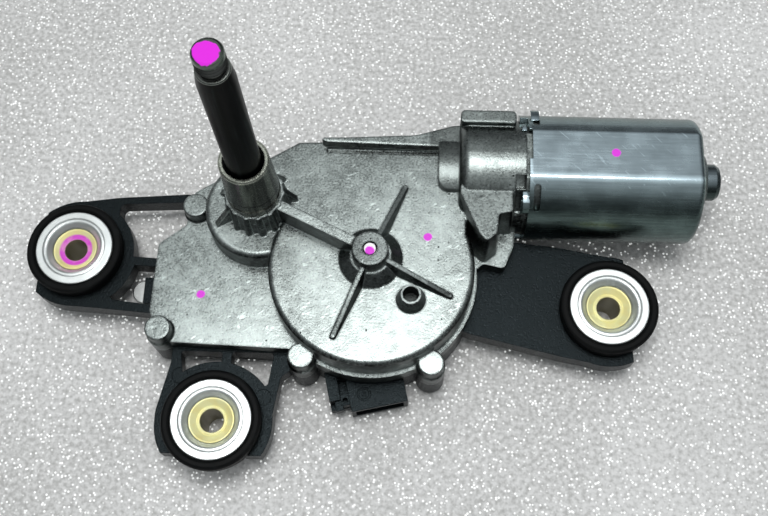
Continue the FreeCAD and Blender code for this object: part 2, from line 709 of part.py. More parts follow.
def left_arm():
    arm = arm_plate([
        (-4.0, 72.9, 0),
        (-15.3, 73.7, 10.0),
        (-37.3, 71.9, 30.0),
        (LEFT_MOUNT[0], LEFT_MOUNT[1] + FORK_OUTER, 0),
        (LEFT_MOUNT[0], LEFT_MOUNT[1] - FORK_OUTER, 0),
        (-38.7, 34.4, 20.0),
        (-22.0, 33.2, 0),
        (-4.0, 33.2, 0),
    ])
    ring_area = disc(LEFT_MOUNT, FORK_OUTER, ARM_BOTTOM, JOINT_LEVEL)
    long_window = arm_plate([
        (-36.6, 69.7, 1.8),
        (-10.0, 71.2, 1.0),
        (-10.0, 50.7, 1.0),
        (-36.6, 52.2, 1.0),
    ])
    low_window = arm_plate([
        (-36.0, 49.2, 1.0),
        (-10.0, 48.2, 1.0),
        (-10.0, 34.6, 1.0),
        (-36.0, 37.4, 1.4),
    ])
    low_window = low_window.cut(disc(LEFT_MOUNT, FORK_OUTER + 1.0, ARM_BOTTOM, JOINT_LEVEL))
    windows = long_window.fuse(low_window).cut(ring_area)
    return arm.fuse(ring_area).cut(windows).cut(fork_cut(LEFT_MOUNT, 180.0, LEFT_REACH, 0.8))


def front_arm():
    arm = arm_plate([
        (-14.7, 26.0, 0),
        (-14.6, 17.9, 4.0),
        (-FORK_OUTER, 3.0, 6.0),
        (-FORK_OUTER, 0.0, 0),
        (FORK_OUTER - 0.6, 0.0, 0),
        (19.2, 14.4, 3.0),
        (22.0, 16.4, 2.0),
        (22.0, 26.0, 0),
    ])
    ring_area = disc(FRONT_MOUNT, FORK_OUTER, ARM_BOTTOM, JOINT_LEVEL)
    arch = disc(FRONT_MOUNT, FORK_OUTER + 0.8, ARM_BOTTOM, JOINT_LEVEL)
    near_window = arm_plate([(-11.9, 21.6, 1.0), (0.9, 21.6, 1.0), (0.9, 12.0, 1.0), (-10.4, 12.0, 1.0)])
    far_window = arm_plate([(3.8, 21.7, 1.0), (16.7, 21.7, 1.0), (15.4, 11.6, 1.0), (3.8, 10.0, 1.0)])
    windows = near_window.fuse(far_window).cut(arch)
    marks = [moulding_mark((-11.5, 14.0)), moulding_mark((14.3, 8.0))]
    return arm.fuse(ring_area).cut(windows).cut(fork_cut(FRONT_MOUNT, 270.0, FRONT_REACH, 1.6)).cut(marks)


def right_arm():
    arm = arm_plate([
        (66.0, 61.4, 0),
        (90.2, 60.0, 20.0),
        (103.0, 58.8, 20.0),
        (RIGHT_MOUNT[0], RIGHT_MOUNT[1] + FORK_OUTER, 0),
        (RIGHT_MOUNT[0], RIGHT_MOUNT[1] - FORK_OUTER, 0),
        (103.4, 23.4, 20.0),
        (76.2, 29.6, 4.0),
        (66.0, 33.0, 0),
    ])
    ring_area = disc(RIGHT_MOUNT, FORK_OUTER, ARM_BOTTOM, JOINT_LEVEL)
    pockets = []
    pitch = 8.6
    wall = 1.8
    for i in range(3):
        start = 79.4 + i * pitch
        end = start + pitch - wall
        cell = prism([
            (start, 57.4 - 0.13 * i * pitch, 1.0),
            (end, 57.4 - 0.13 * (i + 1) * pitch, 1.0),
            (end, 31.6 - 0.23 * (i + 1) * pitch, 1.0),
            (start, 31.6 - 0.23 * i * pitch, 1.0),
        ], ARM_BOTTOM - 1.0, JOINT_LEVEL - ARM_SKIN)
        pockets.append(cell)
    pocket = fuse(pockets).cut(disc(RIGHT_MOUNT, FORK_OUTER, 0, JOINT_LEVEL))
    return arm.fuse(ring_area).cut(pocket).cut(fork_cut(RIGHT_MOUNT, 3.0, RIGHT_REACH, 2.0))


def socket_place(shape):
    shape.rotate(V(0, 0, 0), UP, SOCKET_TURN)
    shape.translate(V(SOCKET_CORNER[0], SOCKET_CORNER[1], 0))
    return shape


def socket_box(x, y, z, wide, deep, tall):
    return socket_place(Part.makeBox(wide, deep, tall, V(x, y, z)))


def cover_bracket():
    outer = footprint(0.0, SKIRT_BOTTOM, JOINT_LEVEL)
    lugs = [disc(xy, LUG_RADIUS, SKIRT_BOTTOM, JOINT_LEVEL) for xy in SCREW_XY]
    body = fuse([outer, left_arm(), front_arm(), right_arm()] + lugs)
    room = footprint(SKIRT_WALL, FLOOR_LEVEL, JOINT_LEVEL + 1.0)
    room = room.cut(fuse([disc(xy, PILLAR_RADIUS, 0, JOINT_LEVEL + 1.0) for xy in SCREW_XY]))
    body = body.cut(room)
    ledge = prism([
        (LEDGE_X, CAP_XY[1] - 4.4, 0.5),
        (-20.0, CAP_XY[1] - 4.4, 0),
        (-20.0, CAP_XY[1] + 4.4, 0),
        (LEDGE_X, CAP_XY[1] + 4.4, 0.5),
    ], SKIRT_BOTTOM, ARM_BOTTOM)
    ledge = ledge.cut(disc(CAP_XY, BREATHER_RADIUS, BREATHER_BOTTOM, BREATHER_TOP))
    body = body.fuse(ledge.cut(room))
    for i in range(3):
        post = polar(100.0 + 120.0 * i, BOARD_RADIUS - 4.0, CASE_XY)
        body = body.fuse(disc(post, 2.0, FLOOR_LEVEL - 0.5, BOARD_BOTTOM))
    cuts = [Part.makeCylinder(BLOCK_RADIUS + LAYER_GAP, BLOCK_END - BLOCK_START + 8.0,
                              V(BLOCK_START - LAYER_GAP, MOTOR_Y, MOTOR_Z), V(1, 0, 0))]
    cuts.append(socket_box(0, 0, SOCKET_BOTTOM, SOCKET_WIDTH, SOCKET_REACH, SOCKET_TOP - SOCKET_BOTTOM))
    cuts.append(socket_box(-LATCH_GAP - LATCH_WIDTH, LATCH_ROOT, SOCKET_BOTTOM, LATCH_GAP + LATCH_WIDTH,
                           SOCKET_REACH - LATCH_ROOT, SOCKET_TOP - SOCKET_BOTTOM))
    for xy in SCREW_XY:
        cuts.append(disc(xy, SCREW_RADIUS, 0, JOINT_LEVEL + 1.0))
        cuts.append(disc(xy, SCREW_HEAD_RADIUS + 0.3, 0, HEAD_SEAT))
    save("cover_bracket", body.cut(cuts).removeSplitter())
    save("breather_cap", soft_top(disc(CAP_XY, BREATHER_RADIUS, BREATHER_BOTTOM, BREATHER_TOP), 0.4))


def connector():
    shroud = socket_box(0, 0, SOCKET_BOTTOM, SOCKET_WIDTH, SOCKET_REACH, SOCKET_TOP - SOCKET_BOTTOM)
    inner_width = SOCKET_WIDTH - 2 * SOCKET_WALL
    inner_height = SOCKET_TOP - SOCKET_BOTTOM - 2 * SOCKET_WALL
    hollow = socket_box(SOCKET_WALL, -1.0, SOCKET_BOTTOM + SOCKET_WALL,
                        inner_width, SOCKET_DEPTH + 1.0, inner_height)
    level = SOCKET_BOTTOM + LATCH_LEVEL
    left = -LATCH_GAP - LATCH_WIDTH
    rail = socket_box(left, LATCH_START, level, LATCH_WIDTH, SOCKET_REACH - LATCH_START, SOCKET_TOP - level)
    tip = socket_box(left + 1.5, LATCH_START - 3.1, level, 2.3, 3.2, SOCKET_TOP - level - 1.2)
    web = socket_box(left, LATCH_ROOT, SOCKET_BOTTOM, -left, SOCKET_REACH - LATCH_ROOT, LATCH_LEVEL)
    catch = socket_box(-LATCH_GAP, LATCH_ROOT + 0.2, level, LATCH_GAP, 3.6, 3.6)
    catch_hole = socket_place(disc((-LATCH_GAP / 2.0, LATCH_ROOT + 1.8), 0.8, level + 1.0, SOCKET_TOP))
    bridge = socket_box(-LATCH_GAP, SOCKET_REACH - 4.2, level, LATCH_GAP, 4.2, 3.8)
    print_ring = socket_place(ring((4.6, 4.7), 2.1, 1.5, SOCKET_TOP - 0.25, SOCKET_TOP + 1.0))
    print_dot = socket_place(disc((4.6, 4.7), 0.7, SOCKET_TOP - 0.25, SOCKET_TOP + 1.0))
    shroud = fuse([shroud, rail, tip, web, catch, bridge])
    blades = []
    slots = []
    pitch = inner_width / PIN_COUNT
    for i in range(PIN_COUNT):
        x = SOCKET_WALL + pitch * (i + 0.5) - PIN_SIZE / 2.0
        z = BOARD_BOTTOM + BOARD_THICK
        reach = SOCKET_REACH + 5.0
        blades.append(socket_box(x, PIN_RECESS, z, PIN_SIZE, reach - PIN_RECESS, PIN_SIZE))
        slots.append(socket_box(x, 0, z, PIN_SIZE, reach, PIN_SIZE))
    save("connector_socket", shroud.cut([hollow, catch_hole, print_ring, print_dot] + slots))
    save("connector_pins", Part.makeCompound(blades))


def rubber_mount(name, centre):
    """One mounting point: rubber grommet in the fork, steel bush through it, dished washer on top."""
    seat_z = WASHER_TOP - WASHER_THICK
    rim = BUSH_TOP - 1.0
    inner = BUSH_FLANGE + RUNNING_GAP
    flat = WASHER_TOP - BEAD_RISE
    funnel = BUSH_TOP - FLARE_DEPTH
    save(name + "_grommet", turned(centre, [
        (BUSH_RADIUS, RUBBER_BOTTOM),
        (BUSH_RADIUS, rim - 0.6),
        (inner, rim),
        (WASHER_DISH + 0.6, seat_z),
        (WASHER_RADIUS + 0.3, seat_z),
        (WASHER_RADIUS + 0.9, RUBBER_TOP),
        (RUBBER_RADIUS - 0.9, RUBBER_TOP),
        (RUBBER_RADIUS - 0.3, RUBBER_TOP - 0.3),
        (RUBBER_RADIUS, RUBBER_TOP - 0.9),
        (RUBBER_RADIUS - 0.3, JOINT_LEVEL),
        (FORK_RADIUS - RUNNING_GAP, JOINT_LEVEL),
        (FORK_RADIUS - RUNNING_GAP, ARM_BOTTOM),
        (RUBBER_FOOT, ARM_BOTTOM),
        (RUBBER_FOOT, RUBBER_BOTTOM + 1.2),
        (RUBBER_FOOT - 1.2, RUBBER_BOTTOM),
    ]))
    save(name + "_washer", turned(centre, [
        (inner, rim),
        (WASHER_DISH + 0.6, seat_z),
        (WASHER_RADIUS, seat_z),
        (WASHER_RADIUS, flat - 0.2),
        (WASHER_RADIUS - 0.2, flat),
        (BEAD_RADIUS, flat),
        (BEAD_RADIUS - 0.25, WASHER_TOP - 0.08),
        (BEAD_RADIUS - 0.6, WASHER_TOP),
        (WASHER_DISH + 0.5, WASHER_TOP),
        (WASHER_DISH, WASHER_TOP - 0.3),
        (inner, BUSH_TOP),
    ]))
    save(name + "_bush", turned(centre, [
        (BUSH_BORE, 0),
        (BUSH_FOOT, 0),
        (BUSH_FOOT, RUBBER_BOTTOM),
        (BUSH_RADIUS, RUBBER_BOTTOM),
        (BUSH_RADIUS, rim - 0.6),
        (BUSH_FLANGE, rim),
        (BUSH_FLANGE, BUSH_TOP),
        (BUSH_FLARE, BUSH_TOP),
        (BUSH_BORE + 2 * BUSH_LIP + 0.2, funnel),
        (BUSH_BORE + 2 * BUSH_LIP, funnel + BUSH_LIP),
        (BUSH_BORE + BUSH_LIP, funnel + BUSH_LIP),
        (BUSH_BORE, funnel + 0.1),
    ]))


def cover_screws():
    screws = []
    for xy in SCREW_XY:
        head = soft_bottom(disc(xy, SCREW_HEAD_RADIUS, HEAD_SEAT - SCREW_HEAD_HEIGHT, HEAD_SEAT), 0.8)
        recess = []
        for angle in (0.0, 90.0):
            cross = Part.makeBox(3.6, 0.9, 1.2, V(-1.8, -0.45, HEAD_SEAT - SCREW_HEAD_HEIGHT - 0.1))
            cross.rotate(V(0, 0, 0), UP, angle)
            cross.translate(V(xy[0], xy[1], 0))
            recess.append(cross)
        shank = disc(xy, SCREW_RADIUS, HEAD_SEAT, HEAD_SEAT + SCREW_LENGTH)
        screws.append(fuse([head, shank]).cut(recess))
    save("cover_screws", Part.makeCompound(screws))


# Spindle

def spindle_group():
    save("spindle_tube", turned(SPINDLE_XY, [
        (COLLAR_BORE, TUBE_FOOT),
        (SPIGOT_RADIUS, TUBE_FOOT),
        (SPIGOT_RADIUS, COLLAR_BOTTOM),
        (COLLAR_FOOT_RADIUS, COLLAR_BOTTOM),
        (COLLAR_FOOT_RADIUS, COLLAR_BOTTOM + 2.8),
        (COLLAR_FOOT_RADIUS - 0.35, COLLAR_BOTTOM + 3.0),
        (COLLAR_FOOT_RADIUS - 0.35, COLLAR_BOTTOM + 3.5),
        (COLLAR_FOOT_RADIUS - 0.1, COLLAR_BOTTOM + 3.7),
        (COLLAR_TOP_RADIUS, COLLAR_TOP - 0.5),
        (COLLAR_TOP_RADIUS - 0.5, COLLAR_TOP),
        (COLLAR_BORE, COLLAR_TOP),
    ]))
    bore = SPINDLE_RADIUS + RUNNING_GAP
    lower = TUBE_FOOT + 0.6
    save("spindle_bush_lower", ring(SPINDLE_XY, COLLAR_BORE, bore, lower, lower + BUSH_LENGTH))
    seal_top = COLLAR_TOP - 1.6
    save("spindle_bush_upper", ring(SPINDLE_XY, COLLAR_BORE, bore, seal_top - SEAL_HEIGHT - BUSH_LENGTH,
                                    seal_top - SEAL_HEIGHT))
    save("spindle_seal", turned(SPINDLE_XY, [
        (bore, seal_top - SEAL_HEIGHT),
        (COLLAR_BORE, seal_top - SEAL_HEIGHT),
        (COLLAR_BORE, seal_top),
        (COLLAR_BORE - 0.35, seal_top),
        (bore, seal_top - 0.9),
    ]))
    cone_height = 2.6
    neck = PINION_SEAT
    save("wiper_spindle", turned(SPINDLE_XY, [
        (0, SPINDLE_LOW),
        (JOURNAL_RADIUS - 0.5, SPINDLE_LOW),
        (JOURNAL_RADIUS, SPINDLE_LOW + 0.5),
        (JOURNAL_RADIUS, CLIP_LOW),
        (JOURNAL_RADIUS - 0.7, CLIP_LOW),
        (JOURNAL_RADIUS - 0.7, CLIP_LOW + CLIP_THICK),
        (JOURNAL_RADIUS, CLIP_LOW + CLIP_THICK),
        (JOURNAL_RADIUS, PINION_LOW),
        (neck, PINION_LOW),
        (neck, PINION_HIGH),
        (SPINDLE_RADIUS + 1.6, PINION_HIGH),
        (SPINDLE_RADIUS + 1.6, TUBE_FOOT - LAYER_GAP),
        (SPINDLE_RADIUS, TUBE_FOOT - LAYER_GAP),
        (SPINDLE_RADIUS, SHOULDER_LEVEL),
        (THREAD_RADIUS + 0.1, SHOULDER_LEVEL + cone_height),
        (THREAD_RADIUS, SHOULDER_LEVEL + cone_height),
        (THREAD_RADIUS, SPINDLE_TIP - 0.9),
        (THREAD_RADIUS - 0.9, SPINDLE_TIP),
        (0, SPINDLE_TIP),
    ]))
    pinion = spur_gear(PINION_TEETH, PINION_PITCH, SWING_START, SPINDLE_XY, PINION_LOW, PINION_HIGH)
    save("spindle_pinion", pinion.cut(disc(SPINDLE_XY, neck, 0, COLLAR_TOP)))
    clip = ring(SPINDLE_XY, JOURNAL_RADIUS + 1.4, JOURNAL_RADIUS - 0.7, CLIP_LOW, CLIP_LOW + CLIP_THICK)
    gap = side_slab([(0, 0), (9, 0), (9, 20), (0, 20)], SPINDLE_XY, 40.0, 2 * (JOURNAL_RADIUS - 1.2))
    save("spindle_circlip", clip.cut(gap))


# Swing mechanism

def hinge_bar(start, end, start_radius, end_radius, low, high):
    """A flat link: two round eyes joined by a tapering bar."""
    dx = end[0] - start[0]
    dy = end[1] - start[1]
    angle = math.degrees(math.atan2(dy, dx))
    span = math.hypot(dx, dy)
    bar = prism([
        (0, -start_radius * 0.8, 0),
        (span, -end_radius * 0.8, 0),
        (span, end_radius * 0.8, 0),
        (0, start_radius * 0.8, 0),
    ], low, high)
    bar.rotate(V(0, 0, 0), UP, angle)
    bar.translate(V(start[0], start[1], 0))
    return fuse([bar, disc(start, start_radius, low, high), disc(end, end_radius, low, high)])


def swing_mechanism():
    plate = hinge_bar(SPINDLE_XY, SWING_XY, JOURNAL_RADIUS + EYE_WALL, SWING_PIN_RADIUS + EYE_WALL,
                      PLATE_LOW, PLATE_HIGH)
    plate = plate.cut([disc(SPINDLE_XY, JOURNAL_RADIUS + RUNNING_GAP, 0, JOINT_LEVEL),
                       disc(SWING_XY, SWING_PIN_RADIUS, 0, JOINT_LEVEL)])
    save("swing_plate", plate)
    head = SWING_PIN_RADIUS + 1.2
    save("swing_pin", turned(SWING_XY, [
        (0, PLATE_LOW - 0.7),
        (head - 0.4, PLATE_LOW - 0.7),
        (head, PLATE_LOW - 0.4),
        (head, PLATE_LOW),
        (SWING_PIN_RADIUS, PLATE_LOW),
        (SWING_PIN_RADIUS, LINK_TOP + 0.15),
        (head, LINK_TOP + 0.15),
        (head, LINK_TOP + 0.5),
        (head - 0.4, LINK_TOP + 0.8),
        (0, LINK_TOP + 0.8),
    ]))
    contact = SWING_START + 180.0
    tooth = FULL_TURN / PINION_TEETH
    sector = spur_gear(PINION_TEETH, PINION_PITCH, contact + tooth / 2.0, SWING_XY, LINK_BOTTOM, LINK_TOP)
    first = contact - tooth
    last = contact - tooth + SECTOR_TEETH * tooth
    reach = 3 * PINION_PITCH
    corners = [SWING_XY]
    for i in range(5):
        corners.append(polar(first + (last - first) * i / 4.0, reach, SWING_XY))
    wedge = prism([(x, y, 0) for x, y in corners], LINK_BOTTOM, LINK_TOP)
    bar = hinge_bar(SWING_XY, CRANK_XY, SWING_PIN_RADIUS + EYE_WALL, CRANK_PIN_RADIUS + EYE_WALL - 0.5,
                    LINK_BOTTOM, LINK_TOP)
    link = fuse([sector.common(wedge), bar])
    holes = [disc(SWING_XY, SWING_PIN_RADIUS + RUNNING_GAP, 0, PLATE_TOP),
             disc(CRANK_XY, CRANK_PIN_RADIUS + RUNNING_GAP, 0, PLATE_TOP)]
    save("sector_link", link.cut(holes))


# Worm wheel

def worm_wheel():
    slope = LEAD / (2.0 * math.pi * WORM_PITCH)
    twist_low = math.degrees(slope * (WHEEL_BOTTOM - MOTOR_Z) / WHEEL_PITCH)
    twist_high = math.degrees(slope * (WHEEL_TOP - MOTOR_Z) / WHEEL_PITCH)
    sections = [wheel_wire(WHEEL_BOTTOM, twist_low), wheel_wire(WHEEL_TOP, twist_high)]
    wheel = Part.makeLoft(sections, True, True)
    rim_inner = WHEEL_PITCH - TOOTH_DROP - 3.2
    hub_outer = AXLE_RADIUS + 4.4
    recess = ring(WHEEL_XY, rim_inner, hub_outer, WHEEL_TOP - 3.4, WHEEL_TOP + 1.0)
    spokes = []
    spoke_end = rim_inner + 0.5
    spoke_side = [(0, WHEEL_BOTTOM), (spoke_end, WHEEL_BOTTOM), (spoke_end, WHEEL_TOP), (0, WHEEL_TOP)]
    for i in range(SPOKES):
        spokes.append(side_slab(spoke_side, WHEEL_XY, FULL_TURN * i / SPOKES + 20.0, 1.6))
    hub = disc(WHEEL_XY, hub_outer, WHEEL_BOTTOM, ROOF_LEVEL - LAYER_GAP)
    wheel = fuse([wheel.cut(recess), hub] + spokes)
    bore = disc(WHEEL_XY, AXLE_RADIUS + RUNNING_GAP, 0, CASE_TOP)
    pin_end = WHEEL_BOTTOM + 4.0
    pin_hole = disc(CRANK_XY, CRANK_PIN_RADIUS, 0, pin_end)
    save("worm_wheel", wheel.cut([bore, pin_hole]))
    crank_pin = disc(CRANK_XY, CRANK_PIN_RADIUS, LINK_TOP + LAYER_GAP, pin_end)
    save("crank_pin", soft_bottom(crank_pin, 0.4))
    disc_plate = ring(WHEEL_XY, rim_inner + 1.0, rim_inner - 7.0, WHEEL_BOTTOM - 0.4, WHEEL_BOTTOM)
    gap_start = rim_inner - 3.0
    gap_side = [(gap_start, 0), (WHEEL_PITCH, 0), (WHEEL_PITCH, WHEEL_TOP), (gap_start, WHEEL_TOP)]
    park_gap = side_slab(gap_side, WHEEL_XY, -62.0, 12.0)
    save("contact_disc", disc_plate.cut(park_gap))
    clip_low = AXLE_LOW + 0.5
    neck = AXLE_RADIUS - 0.6
    save("wheel_axle_pin", turned(WHEEL_XY, [
        (0, AXLE_LOW),
        (AXLE_RADIUS - 0.3, AXLE_LOW),
        (AXLE_RADIUS, AXLE_LOW + 0.3),
        (AXLE_RADIUS, clip_low),
        (neck, clip_low),
        (neck, clip_low + 0.6),
        (AXLE_RADIUS, clip_low + 0.6),
        (AXLE_RADIUS, HUB_TOP - AXLE_TIP_LENGTH),
        (AXLE_TIP_RADIUS, HUB_TOP - AXLE_TIP_LENGTH),
        (AXLE_TIP_RADIUS, HUB_TOP - 0.4),
        (0, HUB_TOP - 0.4),
    ]))
    clip = ring(WHEEL_XY, AXLE_RADIUS + 1.5, neck, clip_low, clip_low + 0.6)
    gap = side_slab([(0, 0), (9, 0), (9, 30), (0, 30)], WHEEL_XY, 120.0, 2 * neck - 1.2)
    save("wheel_circlip", clip.cut(gap))


# Motor

def worm_thread():
    """One right-handed thread, with a gap facing the wheel's top tooth."""
    root = WORM_PITCH - TOOTH_DROP
    tip = WORM_PITCH + TOOTH_RISE
    slope = math.tan(math.radians(20.0))
    half_mid = (math.pi * MODULE - BACKLASH) / 4.0
    half_root = half_mid + slope * TOOTH_DROP
    half_tip = half_mid - slope * TOOTH_RISE
    sink = 0.3
    turns = math.ceil(WORM_LENGTH / LEAD)
    length = turns * LEAD
    helix = Part.makeHelix(LEAD, length, root)
    points = [V(root - sink, 0, -half_root - slope * sink), V(tip, 0, -half_tip),
              V(tip, 0, half_tip), V(root - sink, 0, half_root + slope * sink)]
    profile = Part.makePolygon(points + [points[0]])
    thread = Part.Wire(helix).makePipeShell([profile], True, True)
    thread.rotate(V(0, 0, 0), V(0, 1, 0), 90.0)
    facing = -90.0
    thread.rotate(V(0, 0, 0), V(1, 0, 0), facing)
    shift = LEAD * (0.5 - math.floor(turns / 2.0))
    thread.translate(V(WHEEL_XY[0] + shift, MOTOR_Y, MOTOR_Z))
    return thread, root, tip


def armature():
    thread, root, tip = worm_thread()
    start = WHEEL_XY[0] - WORM_LENGTH / 2.0
    end = WHEEL_XY[0] + WORM_LENGTH / 2.0
    worm = thread.common(lathe([(start, 0), (start, root), (start + 1.6, tip + 0.2), (end - 1.6, tip + 0.2),
                                (end, root), (end, 0)]))
    shaft = lathe([
        (SHAFT_START, 0),
        (SHAFT_START, SHAFT_RADIUS - 0.5),
        (SHAFT_START + 0.5, SHAFT_RADIUS),
        (start - 1.0, SHAFT_RADIUS),
        (start, root),
        (end, root),
        (end + 1.0, SHAFT_RADIUS),
        (SHAFT_END - 0.5, SHAFT_RADIUS),
        (SHAFT_END, SHAFT_RADIUS - 0.5),
        (SHAFT_END, 0),
    ])
    save("worm_shaft", fuse([shaft, worm]))

    core_end = CORE_START + CORE_LENGTH
    slot_depth = CORE_RADIUS * 0.42
    wire_level = MOTOR_Z + CORE_RADIUS - 4.2
    core = barrel(CORE_RADIUS, CORE_START, core_end)
    cuts = [barrel(SHAFT_RADIUS, CORE_START - 1, core_end + 1)]
    for i in range(CORE_SLOTS):
        mouth = Part.makeBox(CORE_LENGTH + 2, 1.8, slot_depth, V(CORE_START - 1, MOTOR_Y - 0.9,
                                                                  MOTOR_Z + CORE_RADIUS - slot_depth + 0.5))
        pocket = Part.makeCylinder(2.3, CORE_LENGTH + 2, V(CORE_START - 1, MOTOR_Y, wire_level), V(1, 0, 0))
        slot = mouth.fuse(pocket)
        slot.rotate(V(0, MOTOR_Y, MOTOR_Z), V(1, 0, 0), FULL_TURN * i / CORE_SLOTS)
        cuts.append(slot)
    save("armature_core", core.cut(cuts))

    heads = []
    for low, high in ((COMMUTATOR_END + 1.0, CORE_START), (core_end, core_end + HEAD_LENGTH)):
        inner = SHAFT_RADIUS + 1.0
        soft = 0.26 * (high - low)
        head = lathe([(low, inner), (low, CORE_RADIUS - 3.4), (low + soft, CORE_RADIUS - 1.6),
                      (high - soft, CORE_RADIUS - 1.6), (high, CORE_RADIUS - 2.6), (high, inner)])
        heads.append(head)
    rods = []
    for i in range(CORE_SLOTS):
        rod = Part.makeCylinder(1.9, CORE_LENGTH, V(CORE_START, MOTOR_Y, wire_level), V(1, 0, 0))
        rod.rotate(V(0, MOTOR_Y, MOTOR_Z), V(1, 0, 0), FULL_TURN * i / CORE_SLOTS)
        rods.append(rod)
    save("armature_windings", fuse(heads + rods))

    bars = barrel(COMMUTATOR_RADIUS, COMMUTATOR_START, COMMUTATOR_END)
    bars = bars.fuse(barrel(COMMUTATOR_RADIUS + 1.2, COMMUTATOR_END - 1.4, COMMUTATOR_END))
    cuts = [barrel(SHAFT_RADIUS, COMMUTATOR_START - 1, COMMUTATOR_END + 1)]
    for i in range(COMMUTATOR_BARS):
        groove = Part.makeBox(COMMUTATOR_LENGTH + 2, 0.5, 3.0, V(COMMUTATOR_START - 1, MOTOR_Y - 0.25,
                                                                   MOTOR_Z + COMMUTATOR_RADIUS - 0.8))
        groove.rotate(V(0, MOTOR_Y, MOTOR_Z), V(1, 0, 0), FULL_TURN * (i + 0.5) / COMMUTATOR_BARS)
        cuts.append(groove)
    save("commutator", bars.cut(cuts))


def brush_gear():
    plate = barrel(CAN_SEAT_BORE - 0.1, BLOCK_END, BLOCK_END + 3.0)
    plate = plate.cut(barrel(COMMUTATOR_RADIUS + 2.0, BLOCK_END - 1, BLOCK_END + 5))
    brushes = []
    tubes = []
    springs = []
    wall = BRUSH_TUBE_WALL
    middle = BRUSH_PLANE
    face = COMMUTATOR_RADIUS + 0.1
    brush_start = middle - BRUSH_WIDTH / 2.0
    brush_low = MOTOR_Z - BRUSH_HEIGHT / 2.0
    tube_start = MOTOR_Y + face + 1.4
    tube_length = BRUSH_LENGTH - 0.9
    brush_end = face + BRUSH_LENGTH - 1.5
    spring_room = face + 1.4 + tube_length - wall - brush_end
    for side in (0.0, 180.0):
        brush = Part.makeBox(BRUSH_WIDTH, BRUSH_LENGTH - 1.5, BRUSH_HEIGHT,
                             V(brush_start, MOTOR_Y + face, brush_low))
        tube = Part.makeBox(BRUSH_WIDTH + 2 * wall, tube_length, BRUSH_HEIGHT + 2 * wall,
                            V(brush_start - wall, tube_start, brush_low - wall))
        hollow = Part.makeBox(BRUSH_WIDTH, tube_length - wall, BRUSH_HEIGHT,
                              V(brush_start, tube_start, brush_low))
        coils = []
        for i in range(2):
            level = MOTOR_Y + brush_end + spring_room * (i + 0.5) / 2.0
            coils.append(Part.makeTorus(1.3, spring_room / 4.0, V(middle, level, MOTOR_Z), V(0, 1, 0)))
        built = (brush, tube.cut(hollow), Part.makeCompound(coils))
        for group, shape in zip((brushes, tubes, springs), built):
            shape.rotate(V(0, MOTOR_Y, MOTOR_Z), V(1, 0, 0), side)
            group.append(shape)
    arms = []
    for side in (face + 2.0, -face - 5.6):
        arms.append(Part.makeBox(BLOCK_END - brush_start, 3.6, 1.2,
                                 V(brush_start, MOTOR_Y + side, brush_low - wall - 1.2)))
    save("brush_holder", fuse([plate] + arms))
    save("brushes", Part.makeCompound(brushes))
    save("brush_tubes", Part.makeCompound(tubes))
    save("brush_springs", Part.makeCompound([s for group in springs for s in group.Solids]))


def d_section(radius, half, start, end):
    """A round bar along the motor axis with its top and bottom cut flat."""
    slab = Part.makeBox(end - start, 4 * radius, 2 * half, V(start, MOTOR_Y - 2 * radius, MOTOR_Z - half))
    return barrel(radius, start, end).common(slab)


